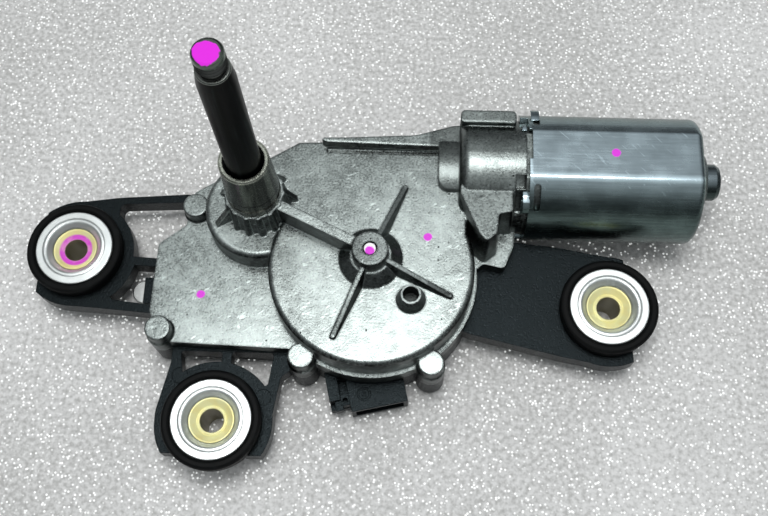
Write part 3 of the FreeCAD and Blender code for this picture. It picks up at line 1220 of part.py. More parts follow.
def motor_can():
    body = d_section(CAN_RADIUS, CAN_HALF_HEIGHT, CAN_START, CAN_END)
    full = CAN_LENGTH - 1e-3
    long_edges = [e for e in body.Edges if e.BoundBox.XLength > full and e.BoundBox.YLength < 1e-3]
    body = body.makeFillet(CAN_EDGE * 0.8, long_edges)
    end_edges = [e for e in body.Edges if e.BoundBox.XMin > CAN_END - 1e-6]
    body = body.makeFillet(CAN_EDGE, end_edges)
    nose = lathe([
        (CAN_END - 1.0, 0),
        (CAN_END - 1.0, NOSE_RADIUS),
        (NOSE_END - 0.8, NOSE_RADIUS),
        (NOSE_END, NOSE_RADIUS - 0.8),
        (NOSE_END, CAP_RADIUS),
        (CAP_END - 1.8, CAP_RADIUS),
        (CAP_END - 0.6, CAP_RADIUS - 0.7),
        (CAP_END, CAP_RADIUS - 2.2),
        (CAP_END, 0),
    ])
    body = fuse([body, nose])
    hollow = d_section(CAN_RADIUS - CAN_WALL, CAN_HALF_HEIGHT - CAN_WALL, CAN_START - 1, CAN_END - CAN_WALL)
    body = body.cut([hollow, barrel(NOSE_RADIUS - 1.4, CAN_START, NOSE_END - 1.4),
                     barrel(CAP_BORE, CAN_START, CAP_END - 1.0)])
    tabs = []
    for angle in (TAB_ANGLE, -TAB_ANGLE, 180.0 - TAB_ANGLE, 180.0 + TAB_ANGLE):
        shell = barrel(CAN_RADIUS, CAN_START - TAB_LENGTH, CAN_START + 0.5)
        shell = shell.cut(barrel(BLOCK_RADIUS + 0.1, CAN_START - TAB_LENGTH - 1, CAN_START + 1))
        corner = V(CAN_START - TAB_LENGTH, MOTOR_Y - TAB_WIDTH / 2.0, MOTOR_Z)
        tongue = Part.makeBox(TAB_LENGTH + 0.5, TAB_WIDTH, 2 * CAN_RADIUS, corner)
        tongue.rotate(V(0, MOTOR_Y, MOTOR_Z), V(1, 0, 0), angle)
        tabs.append(shell.common(tongue))
    slots = []
    half = SLOT_LENGTH / 2.0 - SLOT_HALF_WIDTH
    middle = CAN_START + 2.4
    low = MOTOR_Z + 12
    corner = V(middle - SLOT_HALF_WIDTH, MOTOR_Y - half, low)
    for angle in (43.0, -43.0):
        slot = Part.makeBox(2 * SLOT_HALF_WIDTH, 2 * half, 10, corner)
        ends = []
        for side in (-half, half):
            ends.append(Part.makeCylinder(SLOT_HALF_WIDTH, 10, V(middle, MOTOR_Y + side, low)))
        slot = fuse([slot] + ends)
        slot.rotate(V(0, MOTOR_Y, MOTOR_Z), V(1, 0, 0), angle)
        slots.append(slot)
    rim_corner = V(CAN_START - 1.0, MOTOR_Y - 1.9, MOTOR_Z + CAN_SEAT_BORE)
    slots.append(Part.makeBox(2.0, 10.0, CAN_RADIUS, rim_corner))
    save("motor_can", fuse([body] + tabs).cut(slots))

    magnets = []
    outer = CAN_RADIUS - CAN_WALL
    middle = CORE_START + CORE_LENGTH / 2.0
    for side in (90.0, 270.0):
        shell = barrel(outer, middle - MAGNET_LENGTH / 2.0, middle + MAGNET_LENGTH / 2.0)
        shell = shell.cut(barrel(outer - MAGNET_THICK, middle - MAGNET_LENGTH, middle + MAGNET_LENGTH))
        reach = 2 * outer
        tan = math.tan(math.radians(MAGNET_HALF_ANGLE))
        wedge = Part.Face(Part.makePolygon([V(0, 0, 0), V(0, reach * tan, reach), V(0, -reach * tan, reach),
                                            V(0, 0, 0)])).extrude(V(4 * MAGNET_LENGTH, 0, 0))
        wedge.translate(V(middle - 2 * MAGNET_LENGTH, MOTOR_Y, MOTOR_Z))
        wedge.rotate(V(0, MOTOR_Y, MOTOR_Z), V(1, 0, 0), side)
        magnets.append(shell.common(wedge))
    save("magnets", Part.makeCompound(magnets))


def bearings():
    bore = SHAFT_RADIUS + RUNNING_GAP
    save("worm_end_bush", lathe([
        (SHAFT_START + 0.6, bore),
        (SHAFT_START + 0.6, END_BUSH_RADIUS),
        (SHAFT_START + 0.6 + END_BUSH_LENGTH, END_BUSH_RADIUS),
        (SHAFT_START + 0.6 + END_BUSH_LENGTH, bore),
    ]))
    save("shaft_bearing", lathe([
        (BULGE_START + 1.0, bore), (BULGE_START + 1.0, INNER_SEAT_RADIUS),
        (BLOCK_START + 0.6, INNER_SEAT_RADIUS), (BLOCK_START + 0.6, bore)]))
    rear = NOSE_END - 1.0
    save("rear_bearing", lathe([
        (rear, bore), (rear, CAP_BORE), (SHAFT_END - 0.6, CAP_BORE), (SHAFT_END - 0.6, bore)]))
    save("thrust_pads", Part.makeCompound([
        barrel(SHAFT_RADIUS, SHAFT_START - 1.1, SHAFT_START - 0.1),
        barrel(CAP_BORE - 0.4, SHAFT_END + 0.1, CAP_END - 1.0),
    ]))


# Electrical pieces

def electronics():
    board = disc(CASE_XY, BOARD_RADIUS, BOARD_BOTTOM, BOARD_BOTTOM + BOARD_THICK)
    save("circuit_board", board)
    top = BOARD_BOTTOM + BOARD_THICK
    capacitor = Part.makeBox(9.0, 5.0, 3.8, V(CASE_XY[0] + 6.3, CASE_XY[1] + 11.1, top))
    save("noise_capacitor", soft_top(capacitor, 0.6))
    fingers = []
    touch = WHEEL_BOTTOM - 0.6
    bend = (touch + top) / 2.0
    for i in range(3):
        radius = WHEEL_PITCH - TOOTH_DROP - 9.8 + 2.4 * i
        blade = Part.Face(Part.makePolygon([
            V(-7.0, 0, top),
            V(-5.4, 0, top),
            V(-5.4, 0, bend),
            V(1.6, 0, touch - 0.8),
            V(1.6, 0, touch),
            V(0.2, 0, touch),
            V(-7.0, 0, bend + 1.0),
            V(-7.0, 0, top),
        ])).extrude(V(0, 1.4, 0))
        blade.translate(V(0, -radius - 0.7, 0))
        fingers.append(placed(blade, WHEEL_XY, 60.0))
    save("park_contacts", Part.makeCompound(fingers))


def main():
    os.makedirs("parts", exist_ok=True)
    gear_housing()
    cover_bracket()
    connector()
    rubber_mount("front_mount", FRONT_MOUNT)
    rubber_mount("left_mount", LEFT_MOUNT)
    rubber_mount("right_mount", RIGHT_MOUNT)
    cover_screws()
    spindle_group()
    swing_mechanism()
    worm_wheel()
    armature()
    brush_gear()
    motor_can()
    bearings()
    electronics()
    for name, shape in parts.items():
        shape.exportStep(os.path.join("parts", name + ".step"))
        print(name, "solids", len(shape.Solids), "valid", shape.isValid(), "volume", round(shape.Volume, 1))


main()
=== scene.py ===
# %% [markdown]
# A rear wiper motor turns a fast little electric motor into the slow sweep of a
# wiper arm. Its solids come ready made and stay where they are. This lesson
# gives them their finishes, adds the small forms that only the eye asks for,
# such as a rolled thread, and lights the whole like a photograph on a bench.

# %% Load the motor's solids
import math

import bmesh
import bpy
from mathutils import Matrix, Vector


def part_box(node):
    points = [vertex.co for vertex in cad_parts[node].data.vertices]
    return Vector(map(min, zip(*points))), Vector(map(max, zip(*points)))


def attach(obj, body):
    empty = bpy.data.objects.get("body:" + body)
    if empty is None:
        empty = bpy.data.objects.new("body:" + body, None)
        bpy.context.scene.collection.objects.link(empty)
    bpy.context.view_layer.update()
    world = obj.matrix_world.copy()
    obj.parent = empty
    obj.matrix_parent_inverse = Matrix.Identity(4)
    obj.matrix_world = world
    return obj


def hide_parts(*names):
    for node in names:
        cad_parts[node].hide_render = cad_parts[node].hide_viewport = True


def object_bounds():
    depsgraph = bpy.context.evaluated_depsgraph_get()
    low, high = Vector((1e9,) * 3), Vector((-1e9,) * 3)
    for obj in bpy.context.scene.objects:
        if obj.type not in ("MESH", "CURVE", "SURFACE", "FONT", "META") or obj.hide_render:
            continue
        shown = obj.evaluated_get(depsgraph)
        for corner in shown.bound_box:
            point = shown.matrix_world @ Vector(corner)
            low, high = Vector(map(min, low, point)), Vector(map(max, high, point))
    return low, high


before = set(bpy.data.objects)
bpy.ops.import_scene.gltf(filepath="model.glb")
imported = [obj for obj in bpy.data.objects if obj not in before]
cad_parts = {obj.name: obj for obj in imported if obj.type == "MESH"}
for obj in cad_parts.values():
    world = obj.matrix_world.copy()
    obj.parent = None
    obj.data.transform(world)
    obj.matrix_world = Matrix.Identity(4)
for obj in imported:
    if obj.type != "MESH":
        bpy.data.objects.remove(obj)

MM = 0.001
cad_low, cad_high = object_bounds()
print("solids:", len(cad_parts))
print("their size in mm:", [round(v / MM, 1) for v in cad_high - cad_low])

# %% [markdown]
# Several finishes and pieces need to know where an axis stands. Every axis here
# runs through the middle of some solid's box, so it is read from the solids and
# never typed twice.

# %% Find the axes


def middle(node):
    """The middle of a solid's box, in metres."""
    low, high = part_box(node)
    return (low + high) / 2


SPINDLE = middle("wiper_spindle")
HUB = middle("wheel_axle_pin")
MOTOR = middle("worm_shaft")
MOUNTS = {name: middle(name + "_mount_washer") for name in ("front", "left", "right")}
print("spindle axis in mm:", round(SPINDLE.x / MM, 1), round(SPINDLE.y / MM, 1))

# %% [markdown]
# Shader nodes are easier to read as sums than as boxes and links. A small class
# holds one output socket. Adding, multiplying or comparing two of them adds the
# Math node that does it, and any other kind of node comes from one method.

# %% Write shader maths as Python


class Wire:
    """An output socket of a node tree, which arithmetic carries on from."""

    def __init__(self, tree, socket=None):
        self.tree = tree
        self.socket = socket

    def node(self, kind, settings, inputs, output=0):
        """Add a node: its settings first, then the value or wire of each socket."""
        made = self.tree.nodes.new("ShaderNode" + kind)
        for name, value in settings.items():
            setattr(made, name, value)
        for key, value in inputs.items():
            if isinstance(value, Wire):
                self.tree.links.new(value.socket, made.inputs[key])
            else:
                made.inputs[key].default_value = value
        return Wire(self.tree, made.outputs[output])

    def maths(self, operation, *values):
        return self.node("Math", {"operation": operation}, dict(enumerate(values)))

    def __add__(self, other):
        return self.maths("ADD", self, other)

    def __sub__(self, other):
        return self.maths("SUBTRACT", self, other)

    def __rsub__(self, other):
        return self.maths("SUBTRACT", other, self)

    def __mul__(self, other):
        return self.maths("MULTIPLY", self, other)

    def __gt__(self, other):
        return self.maths("GREATER_THAN", self, other)

    def __lt__(self, other):
        return self.maths("LESS_THAN", self, other)

    __radd__ = __add__
    __rmul__ = __mul__


print("operators on a wire: + - * > <")

# %% [markdown]
# Every finish is made of the same few patterns: a soft step between two values,
# a mix of two colours, cloudy noise, and a distance. A picture could give them
# too, but noise has no seams, needs no file and keeps its scale on every solid.
# Each pattern is one or two nodes, so each gets a short name.

# %% Name the patterns
X, Y, Z = range(3)
BLACK = (0.0, 0.0, 0.0, 1.0)


def ramp(wire, low, high):
    """0 below low, 1 above high, and a soft step between them."""
    return wire.node("MapRange", {"interpolation_type": "SMOOTHSTEP"},
                     {"Value": wire, "From Min": low, "From Max": high})


def blend(mask, first, second):
    """The first colour where the mask is 0 and the second where it is 1."""
    return mask.node("Mix", {"data_type": "RGBA"}, {0: mask, 6: first, 7: second}, 2)


def shaded(shade, tint):
    """Black where the shade is 0, and the whole tint where it is 1."""
    return blend(shade, BLACK, tint)


def noise(place, size, detail=3.0):
    """Cloudy noise whose blotches are about size metres wide."""
    return place.node("TexNoise", {}, {"Vector": place, "Scale": 1.0 / size, "Detail": detail})


def swing(wire, amount):
    """Noise that swings about zero, by half the amount each way at most."""
    return (wire - 0.5) * amount


def distance(place, point):
    """How far a place is from a point."""
    return place.node("VectorMath", {"operation": "DISTANCE"}, {0: place, 1: point}, 1)


def coordinate(place, axis):
    """One coordinate of a place."""
    return place.node("SeparateXYZ", {}, {0: place}, axis)


print("patterns:", ", ".join(one.__name__ for one in (ramp, blend, shaded, noise, swing, distance)))

# %% [markdown]
# Each finish starts from one Principled shader. What is the same all over is a
# plain number on its socket, and what changes over the surface is a wire. Real
# edges are never sharp, so most finishes also bend the normal along the edges a
# little, as a fine radius does, and every bump is built on that.

# %% Start a finish
DEFAULT_EDGE = 0.3 * MM
EDGE_SAMPLES = 4
EDGE_HIGHLIGHT_RAMP = (0.015, 0.13)
finishes = {}


class Finish:
    """A material, its shader and the wires that most patterns start from."""

    def __init__(self, name, metallic, edge=DEFAULT_EDGE):
        self.material = bpy.data.materials.new(name)
        self.material.use_nodes = True
        tree = self.material.node_tree
        self.shader = tree.nodes["Principled BSDF"]
        self.place = Wire(tree).node("TexCoord", {}, {}, "Object")
        self.upward = coordinate(Wire(tree).node("TexCoord", {}, {}, "Normal"), Z)
        self.normal = None
        if edge:
            self.normal = self.place.node("Bevel", {"samples": EDGE_SAMPLES}, {"Radius": edge})
        self.set("Metallic", metallic)
        finishes[name] = self.material

    def painted_edge_highlight(self):
        """A mask for a painted edge highlight: 1 along an edge, where the rounded normal leaves the
        flat one, and 0 elsewhere.
        """
        flat = self.place.node("NewGeometry", {}, {}, 1)
        same = flat.node("VectorMath", {"operation": "DOT_PRODUCT"}, {0: flat, 1: self.normal}, 1)
        return ramp(1.0 - same, *EDGE_HIGHLIGHT_RAMP)

    def set(self, name, value):
        """Give a socket of the shader a number, a colour or a wire."""
        if isinstance(value, Wire):
            value.tree.links.new(value.socket, self.shader.inputs[name])
        else:
            self.shader.inputs[name].default_value = value

    def colour(self, value):
        self.set("Base Color", value)

    def bump(self, height, depth):
        """Raise the surface by depth metres where height is 1."""
        inputs = {"Height": height, "Distance": depth}
        if self.normal:
            inputs["Normal"] = self.normal
        self.normal = height.node("Bump", {}, inputs)
        self.set("Normal", self.normal)


print("default edge radius in mm:", DEFAULT_EDGE / MM)

# %% [markdown]
# Somebody has dabbed bright magenta paint on this motor: on the spindle's end,
# on the pin in the hub, and here and there on the casting and the can. A dab
# could be a thin piece of its own, but it lies flatter as a mask around a point.
# Where the mask is 1 the paint's colour wins, and the metal under it stops being
# metallic. The paint also glows a little, a painted glow that makes it brighter
# than the lamp alone does.

# %% Paint dabs
PAINT = (0.82, 0.04, 0.80, 1.0)
PAINT_PAINTED_GLOW = (0.12, 0.0, 0.12, 1.0)
PAINT_ROUGHNESS = 0.45
RIM_GRAIN = 1.5 * MM
RIM_SWING = 0.35
RIM = (0.8, 1.05)


def dab(place, point, radius):
    """1 inside a dab of paint with a slightly uneven rim."""
    reach = distance(place, point) + swing(noise(place, RIM_GRAIN), RIM_SWING * radius)
    return 1.0 - ramp(reach, RIM[0] * radius, RIM[1] * radius)


def paint_over(finish, colour, metallic, roughness, mask, with_painted_glow=True):
    """Lay paint over a finish where the mask is 1, with a painted glow if asked."""
    finish.colour(blend(mask, colour, PAINT))
    finish.set("Metallic", (1.0 - mask) * metallic)
    finish.set("Roughness", mask * PAINT_ROUGHNESS + (1.0 - mask) * roughness)
    if with_painted_glow:
        # The paint's painted glow.
        finish.set("Emission Color", blend(mask, BLACK, PAINT_PAINTED_GLOW))
        finish.set("Emission Strength", 1.0)


print("paint colour:", PAINT[:3])

# %% [markdown]
# Many marks on metal are drawn out: scratches, die marks and rolling lines. They
# are the same noise on a place that is squeezed along one direction. A mark that
# runs askew is turned about the upright axis first. Other marks go by how far
# they are from such an axis, whatever their height.

# %% Draw noise out, and measure from an axis


def stretched(place, along):
    """The same place, squeezed by a factor along each axis."""
    return place.node("Mapping", {}, {"Vector": place, "Scale": along})


def askew_lines(place, angle, squeeze, size, detail):
    """Noise drawn out along a level line that lies at an angle to x."""
    turned = place.node("VectorRotate", {"rotation_type": "Z_AXIS"},
                        {"Vector": place, "Angle": angle})
    return noise(stretched(turned, (squeeze, 1.0, 1.0)), size, detail)


def from_axis(place, axis):
    """The distance from an upright axis through a point."""
    level = place.node("VectorMath", {"operation": "MULTIPLY"}, {0: place, 1: (1.0, 1.0, 0.0)})
    return distance(level, (axis[X], axis[Y], 0.0))


print("hub axis in mm:", round(HUB.x / MM, 1), round(HUB.y / MM, 1))

# %% [markdown]
# Shade is painted on the casting in a few places. The motor block, the bulge
# beside it and the top of the hub are painted darker, which dims their
# highlights, and the post's hole is painted dark as shade. Each could be a
# finish of its own, but then its border would be hard, so each is a soft mask
# over a place on the casting.

# %% Where shade is painted on the casting
BLOCK_ALONG, BLOCK_LEVEL = (62.0 * MM, 63.0 * MM), (27.3 * MM, 28.0 * MM)
BULGE_ALONG = (71.0 * MM, 72.0 * MM)
HUB_REACH, HUB_LEVEL = 6.0 * MM, (34.0 * MM, 35.0 * MM)
POST_AXIS = (57.8 * MM, 35.1 * MM)
POST_BORE, POST_LEVEL = 2.45 * MM, (30.0 * MM, 32.3 * MM)


def painted_shade_places(place):
    """Painted shade: how much of their brightness the motor block, its bulge, the hub's top and the
    post's hole keep.
    """
    level, along = coordinate(place, Z), coordinate(place, X)
    block = ramp(along, *BLOCK_ALONG) * ramp(level, *BLOCK_LEVEL)
    bulge = block * (1.0 - ramp(along, *BULGE_ALONG))
    hub = (from_axis(place, HUB) < HUB_REACH) * ramp(level, *HUB_LEVEL)
    hole = (from_axis(place, POST_AXIS) < POST_BORE) * (1.0 - ramp(level, *POST_LEVEL))
    kept = (1.0 - block * 0.2) * (1.0 - bulge * 0.4) * (1.0 - hub * 0.4)
    return kept * (1.0 - hole * 0.9)


print("post axis in mm:", [round(v / MM, 1) for v in POST_AXIS])

# %% [markdown]
# The housing is die-cast aluminium that was shot blasted. Its open faces are
# painted pale as painted light, its drafted walls are painted darker as painted
# shade, and a painted highlight runs along its edges. One flat grey would look
# like plastic, so the shade is a sum: the painted wall shade or lit open face,
# three sizes of noise, flecks and painted edge highlights, less the gas pores,
# which show as dark pinholes.

# %% Cast aluminium
CAST_EDGE = 0.8 * MM
CAST_TINT = (0.89, 1.0, 0.97, 1.0)
CAST_DABS = (Vector((-6.6, 38.3, 17.0)) * MM, Vector((62.4, 55.2, 27.0)) * MM)
CAST_DAB_RADIUS = 1.35 * MM
# The first two amounts are painted shade on the walls and painted light on the open faces, and the
# edge amount is a painted highlight.
CAST = {"wall": 0.085, "open": 0.2, "cloud": 0.42, "coarse": 0.28, "grain": 0.26,
        "flecks": 0.26, "edge": 0.34, "pores": 0.9}
PORE_SPACING, PORE_SIZE = 4.2 * MM, (0.035, 0.08)


def cast_aluminium():
    finish = Finish("cast_aluminium", 1.0, CAST_EDGE)
    place = finish.place
    grain = noise(place, 0.6 * MM, 2.0)
    coarse = noise(place, 2.4 * MM, 4.0)
    cloud = noise(place, 16 * MM, 5.0)
    cells = place.node("TexVoronoi", {}, {"Vector": place, "Scale": 1.0 / PORE_SPACING})
    pores = (1.0 - ramp(cells, *PORE_SIZE)) * (noise(place, 9 * MM, 1.0) > 0.5)
    flecks = ramp(askew_lines(place, -0.6, 0.3, 0.8 * MM, 2.0), 0.58, 0.7)
    flecks = flecks * ramp(noise(place, 7 * MM, 2.0), 0.5, 0.62)
    # Faces that point up are painted lighter: painted light by facing.
    open_face = ramp(finish.upward, 0.45, 0.92)
    shade = CAST["wall"] + open_face * CAST["open"] + swing(cloud, CAST["cloud"])
    shade = shade + swing(coarse, CAST["coarse"]) + swing(grain, CAST["grain"])
    # Flecks, and a painted highlight along the edges.
    shade = shade + flecks * CAST["flecks"] + finish.painted_edge_highlight() * CAST["edge"]
    # Less the pores, and times the painted shade over a few places.
    shade = shade * (1.0 - pores * CAST["pores"]) * painted_shade_places(place)
    rough = 0.3 + swing(grain, 0.34) + swing(cloud, 0.2) + (1.0 - open_face) * 0.06
    first, second = (dab(place, point, CAST_DAB_RADIUS) for point in CAST_DABS)
    paint_over(finish, shaded(shade, CAST_TINT), 1.0, rough, first + second)
    finish.bump(grain + coarse * 0.8 - pores * 2.0, 0.028 * MM)


cast_aluminium()
print("dabs on the casting:", len(CAST_DABS))

# %% [markdown]
# The can is deep-drawn steel with a galvanised coat. Zinc carries a faint
# mottling, and the drawing leaves fine lines along the motor. Its level flat is
# painted lighter and its sides darker and greener, as painted light and shade.
# A painted highlight runs along the long edge of the flat and along the lip at
# its mouth, a few scratches cross the flat, and the nose is dark. Each mark is
# tied to a measured place rather than painted by hand, so it sits there from
# every side.

# %% Galvanised steel
CAN_EDGE = 0.35 * MM
CAN_SHADED_SIDE_TINT, CAN_LIT_FLAT_TINT = (0.72, 1.0, 0.96, 1.0), (0.75, 0.92, 1.0, 1.0)
CAN_DAB, CAN_DAB_RADIUS = Vector((117.9, 79.7, 37.45)) * MM, 1.45 * MM
# The side and flat amounts are painted shade and light by facing, and the edge and lip amounts are
# painted highlights.
CAN = {"side": 0.13, "flat": 0.34, "mottle": 0.26, "lines": 0.16,
       "scratch": 0.2, "edge": 0.5, "lip_highlight": 0.4, "nose": 0.5}
FLAT_EDGE, FLAT_EDGE_HIGHLIGHT_REACH = 71.6 * MM, (0.3 * MM, 1.7 * MM)
LIP_HIGHLIGHT_ALONG = (92.6 * MM, 93.4 * MM)
NOSE_ALONG = (144.6 * MM, 145.0 * MM)


def abs_of(wire):
    return wire.maths("ABSOLUTE", wire)


def galvanised_steel():
    finish = Finish("galvanised_steel", 1.0, CAN_EDGE)
    place = finish.place
    along, across = coordinate(place, X), coordinate(place, Y)
    lines = noise(stretched(place, (0.06, 1.0, 1.0)), 0.6 * MM, 2.0)
    mottle = noise(place, 7 * MM, 4.0)
    scratch = ramp(askew_lines(place, 0.8, 0.12, 0.9 * MM, 1.0), 0.68, 0.74)
    # Faces that point up are painted lighter: painted light by facing.
    lit_flat = ramp(finish.upward, 0.5, 1.0)
    # A painted highlight along the long edge of the flat and along the lip at the mouth.
    edge = 1.0 - ramp(abs_of(across - FLAT_EDGE), *FLAT_EDGE_HIGHLIGHT_REACH)
    edge = edge * ramp(finish.upward, 0.4, 0.8)
    lip_highlight = (1.0 - ramp(along, *LIP_HIGHLIGHT_ALONG)) * ramp(finish.upward, 0.8, 0.95)
    shade = CAN["side"] + lit_flat * CAN["flat"] + scratch * lit_flat * CAN["scratch"]
    shade = shade + swing(mottle, CAN["mottle"]) + swing(lines, CAN["lines"])
    shade = shade + edge * CAN["edge"] + lip_highlight * CAN["lip_highlight"]
    shade = shade * (1.0 - ramp(along, *NOSE_ALONG) * CAN["nose"])
    # The sides and the flat take a painted shaded tint and a painted lit tint.
    bare = shaded(shade, blend(lit_flat, CAN_SHADED_SIDE_TINT, CAN_LIT_FLAT_TINT))
    rough = 0.26 + swing(mottle, 0.2) + swing(lines, 0.1)
    paint_over(finish, bare, 1.0, rough, dab(place, CAN_DAB, CAN_DAB_RADIUS))
    finish.bump(lines + mottle, 0.02 * MM)


galvanised_steel()
# The flat's long edge carries a painted highlight.
print("burnished edge at y in mm:", round(FLAT_EDGE / MM, 1))

# %% [markdown]
# The bracket is glass-filled plastic, nearly black, with the fine texture of an
# eroded mould, which is a bump because no mesh is as fine. Its gloss is lower
# than a plain plastic's, because the glass comes to the surface. The rubber is
# blacker and duller, and holds a little dust.

# %% Plastic and rubber
PLASTIC_TINT, PLASTIC_SHEEN = (0.64, 0.92, 1.0, 1.0), (0.74, 0.93, 1.0, 1.0)
PLASTIC_EDGE, RUBBER_EDGE = 0.35 * MM, 0.4 * MM
RUBBER_TINT = (0.85, 0.97, 1.0, 1.0)


def black_plastic():
    finish = Finish("black_plastic", 0.0, PLASTIC_EDGE)
    grain = noise(finish.place, 0.45 * MM, 2.0)
    cloud = noise(finish.place, 12 * MM, 3.0)
    finish.colour(shaded(0.003 + swing(cloud, 0.003) + swing(grain, 0.004), PLASTIC_TINT))
    finish.set("Roughness", 0.34 + swing(grain, 0.45))
    finish.set("Specular IOR Level", 0.19)
    finish.set("Specular Tint", PLASTIC_SHEEN)
    finish.bump(grain, 0.13 * MM)


def rubber():
    finish = Finish("rubber", 0.0, RUBBER_EDGE)
    dust = ramp(noise(finish.place, 5 * MM, 5.0), 0.52, 0.75)
    finish.colour(shaded(0.005 + dust * 0.007, RUBBER_TINT))
    finish.set("Roughness", 0.52 + dust * 0.2)
    finish.set("Specular IOR Level", 0.1)
    finish.bump(noise(finish.place, 0.7 * MM), 0.04 * MM)


black_plastic()
rubber()
print("finishes so far:", ", ".join(finishes))

# %% [markdown]
# The washers are white zinc. They were pressed and turned round, so their fine
# lines are rings about the bolt hole, and each mount gets its own centre. The
# dish that a washer's middle is pressed into is painted darker than its rim,
# as painted shade in the hollow.

# %% White zinc
WASHER_EDGE = 0.6 * MM
WASHER_TINT = (0.95, 1.0, 0.985, 1.0)
WASHER_DISH_SHADE_RADII = (6.6 * MM, 7.5 * MM)


def rings(radius, step):
    """Fine turned lines: a wave over the distance from an axis."""
    turns = radius * (math.tau / step)
    return turns.maths("SINE", turns) * 0.5 + 0.5


def white_zinc(mount):
    finish = Finish("white_zinc." + mount, 1.0, WASHER_EDGE)
    radius = from_axis(finish.place, MOUNTS[mount])
    cloud = noise(finish.place, 3 * MM, 4.0)
    # Inside the rim the dish is painted darker: painted shade.
    shade = 0.24 + ramp(radius, *WASHER_DISH_SHADE_RADII) * 0.64 + swing(cloud, 0.16)
    finish.colour(shaded(shade, WASHER_TINT))
    finish.set("Roughness", 0.36 + swing(cloud, 0.15))
    finish.bump(rings(radius, 0.35 * MM) + cloud, 0.006 * MM)


for mount in MOUNTS:
    white_zinc(mount)
print("washers:", ", ".join(MOUNTS))

# %% [markdown]
# The bushes are yellow zinc, a passivated coat whose gold is paler in places and
# less of a mirror than bare metal. The bore is coloured darker, and the left bush
# has paint on its flare, which a ring about the same axis puts there.

# %% Yellow zinc
BUSH_EDGE, BUSH_METALLIC = 0.5 * MM, 0.25
GOLD, PALE_GOLD = (1.0, 0.91, 0.40, 1.0), (1.0, 0.97, 0.52, 1.0)
BORE, BORE_COLOUR = (3.5 * MM, 3.7 * MM), (0.30, 0.27, 0.17, 1.0)
FLARE_DAB_RADIUS, FLARE_DAB_REACH = 4.3 * MM, (0.6 * MM, 1.2 * MM)


def yellow_zinc(mount):
    finish = Finish("yellow_zinc." + mount, BUSH_METALLIC, BUSH_EDGE)
    place = finish.place
    radius = from_axis(place, MOUNTS[mount])
    drift = noise(place, 4 * MM)
    inside = 1.0 - ramp(radius, *BORE)
    gold = blend(inside, blend(ramp(drift, 0.35, 0.65), GOLD, PALE_GOLD), BORE_COLOUR)
    rough = 0.34 + swing(drift, 0.1)
    finish.colour(gold)
    finish.set("Roughness", rough)
    if mount == "left":
        flare = 1.0 - ramp(abs_of(radius - FLARE_DAB_RADIUS), *FLARE_DAB_REACH)
        thin = 0.72 + ramp(noise(place, 2.5 * MM), 0.35, 0.6) * 0.2
        paint_over(finish, gold, BUSH_METALLIC, rough, flare * (1.0 - inside) * thin, with_painted_glow=False)
    finish.bump(rings(radius, 0.3 * MM), 0.008 * MM)


for mount in MOUNTS:
    yellow_zinc(mount)
print("finishes so far:", len(finishes))

# %% [markdown]
# The other metals differ in little but their colour: phosphate on the sector,
# the pinion and the worm, plated steel on clips and screws, bronze bearings,
# brass contacts. One function makes them all, a cloudy colour with a fine grain.

# %% Other metals
METAL_GRAIN, METAL_DEPTH = 0.5 * MM, 0.015 * MM


def dimmed(colour, factor):
    """The same colour, darker."""
    return tuple(factor * v for v in colour[:3]) + (1.0,)


def plain_metal(name, colour, roughness):
    finish = Finish(name, 1.0)
    grain = noise(finish.place, METAL_GRAIN)
    cloud = noise(finish.place, 6 * MM, 4.0)
    finish.colour(blend(ramp(cloud + swing(grain, 0.3), 0.3, 0.7), dimmed(colour, 0.7), colour))
    finish.set("Roughness", roughness + swing(cloud, 0.2))
    finish.bump(grain, METAL_DEPTH)


plain_metal("dark_steel", (0.155, 0.165, 0.14, 1.0), 0.3)
plain_metal("zinc_steel", (0.52, 0.54, 0.53, 1.0), 0.38)
plain_metal("bronze", (0.50, 0.36, 0.18, 1.0), 0.5)
plain_metal("tinned_brass", (0.74, 0.72, 0.64, 1.0), 0.3)
plain_metal("core_steel", (0.32, 0.33, 0.35, 1.0), 0.45)
plain_metal("copper", (0.66, 0.30, 0.15, 1.0), 0.35)
print("finishes so far:", len(finishes))

# %% [markdown]
# Two steel pieces need a pattern of their own. The tube round the spindle is
# phosphated, with marks from the die along it, a dark groove, and a painted
# highlight along its lip. The end of the hub's pin is bare under a dab of paint.

# %% The tube and the hub's pin
TUBE_EDGE, TUBE_TINT = 0.5 * MM, (0.95, 1.0, 0.86, 1.0)
TUBE_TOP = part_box("spindle_tube")[1].z
TUBE_LIP_HIGHLIGHT = (TUBE_TOP - 1.3 * MM, TUBE_TOP - 0.4 * MM)
TUBE_GROOVE, TUBE_GROOVE_REACH = 43.0 * MM, (0.25 * MM, 0.45 * MM)
PIN_COLOUR = (0.5, 0.5, 0.5, 1.0)
PIN_DAB_SHIFT, PIN_DAB_RADIUS = 0.7 * MM, 1.45 * MM


def tube_steel():
    finish = Finish("tube_steel", 1.0, TUBE_EDGE)
    place = finish.place
    level = coordinate(place, Z)
    marks = ramp(noise(stretched(place, (1.0, 1.0, 0.08)), 2.2 * MM), 0.4, 0.7)
    grain = noise(place, 0.6 * MM)
    groove = 1.0 - ramp(abs_of(level - TUBE_GROOVE), *TUBE_GROOVE_REACH)
    shade = (0.045 + marks * 0.2) * (1.0 - groove * 0.8)
    # A painted highlight along the lip at the top.
    shade = shade + ramp(level, *TUBE_LIP_HIGHLIGHT) * 0.36 + swing(grain, 0.03)
    finish.colour(shaded(shade, TUBE_TINT))
    finish.set("Roughness", 0.26 + swing(grain, 0.2))
    finish.bump(grain, 0.02 * MM)


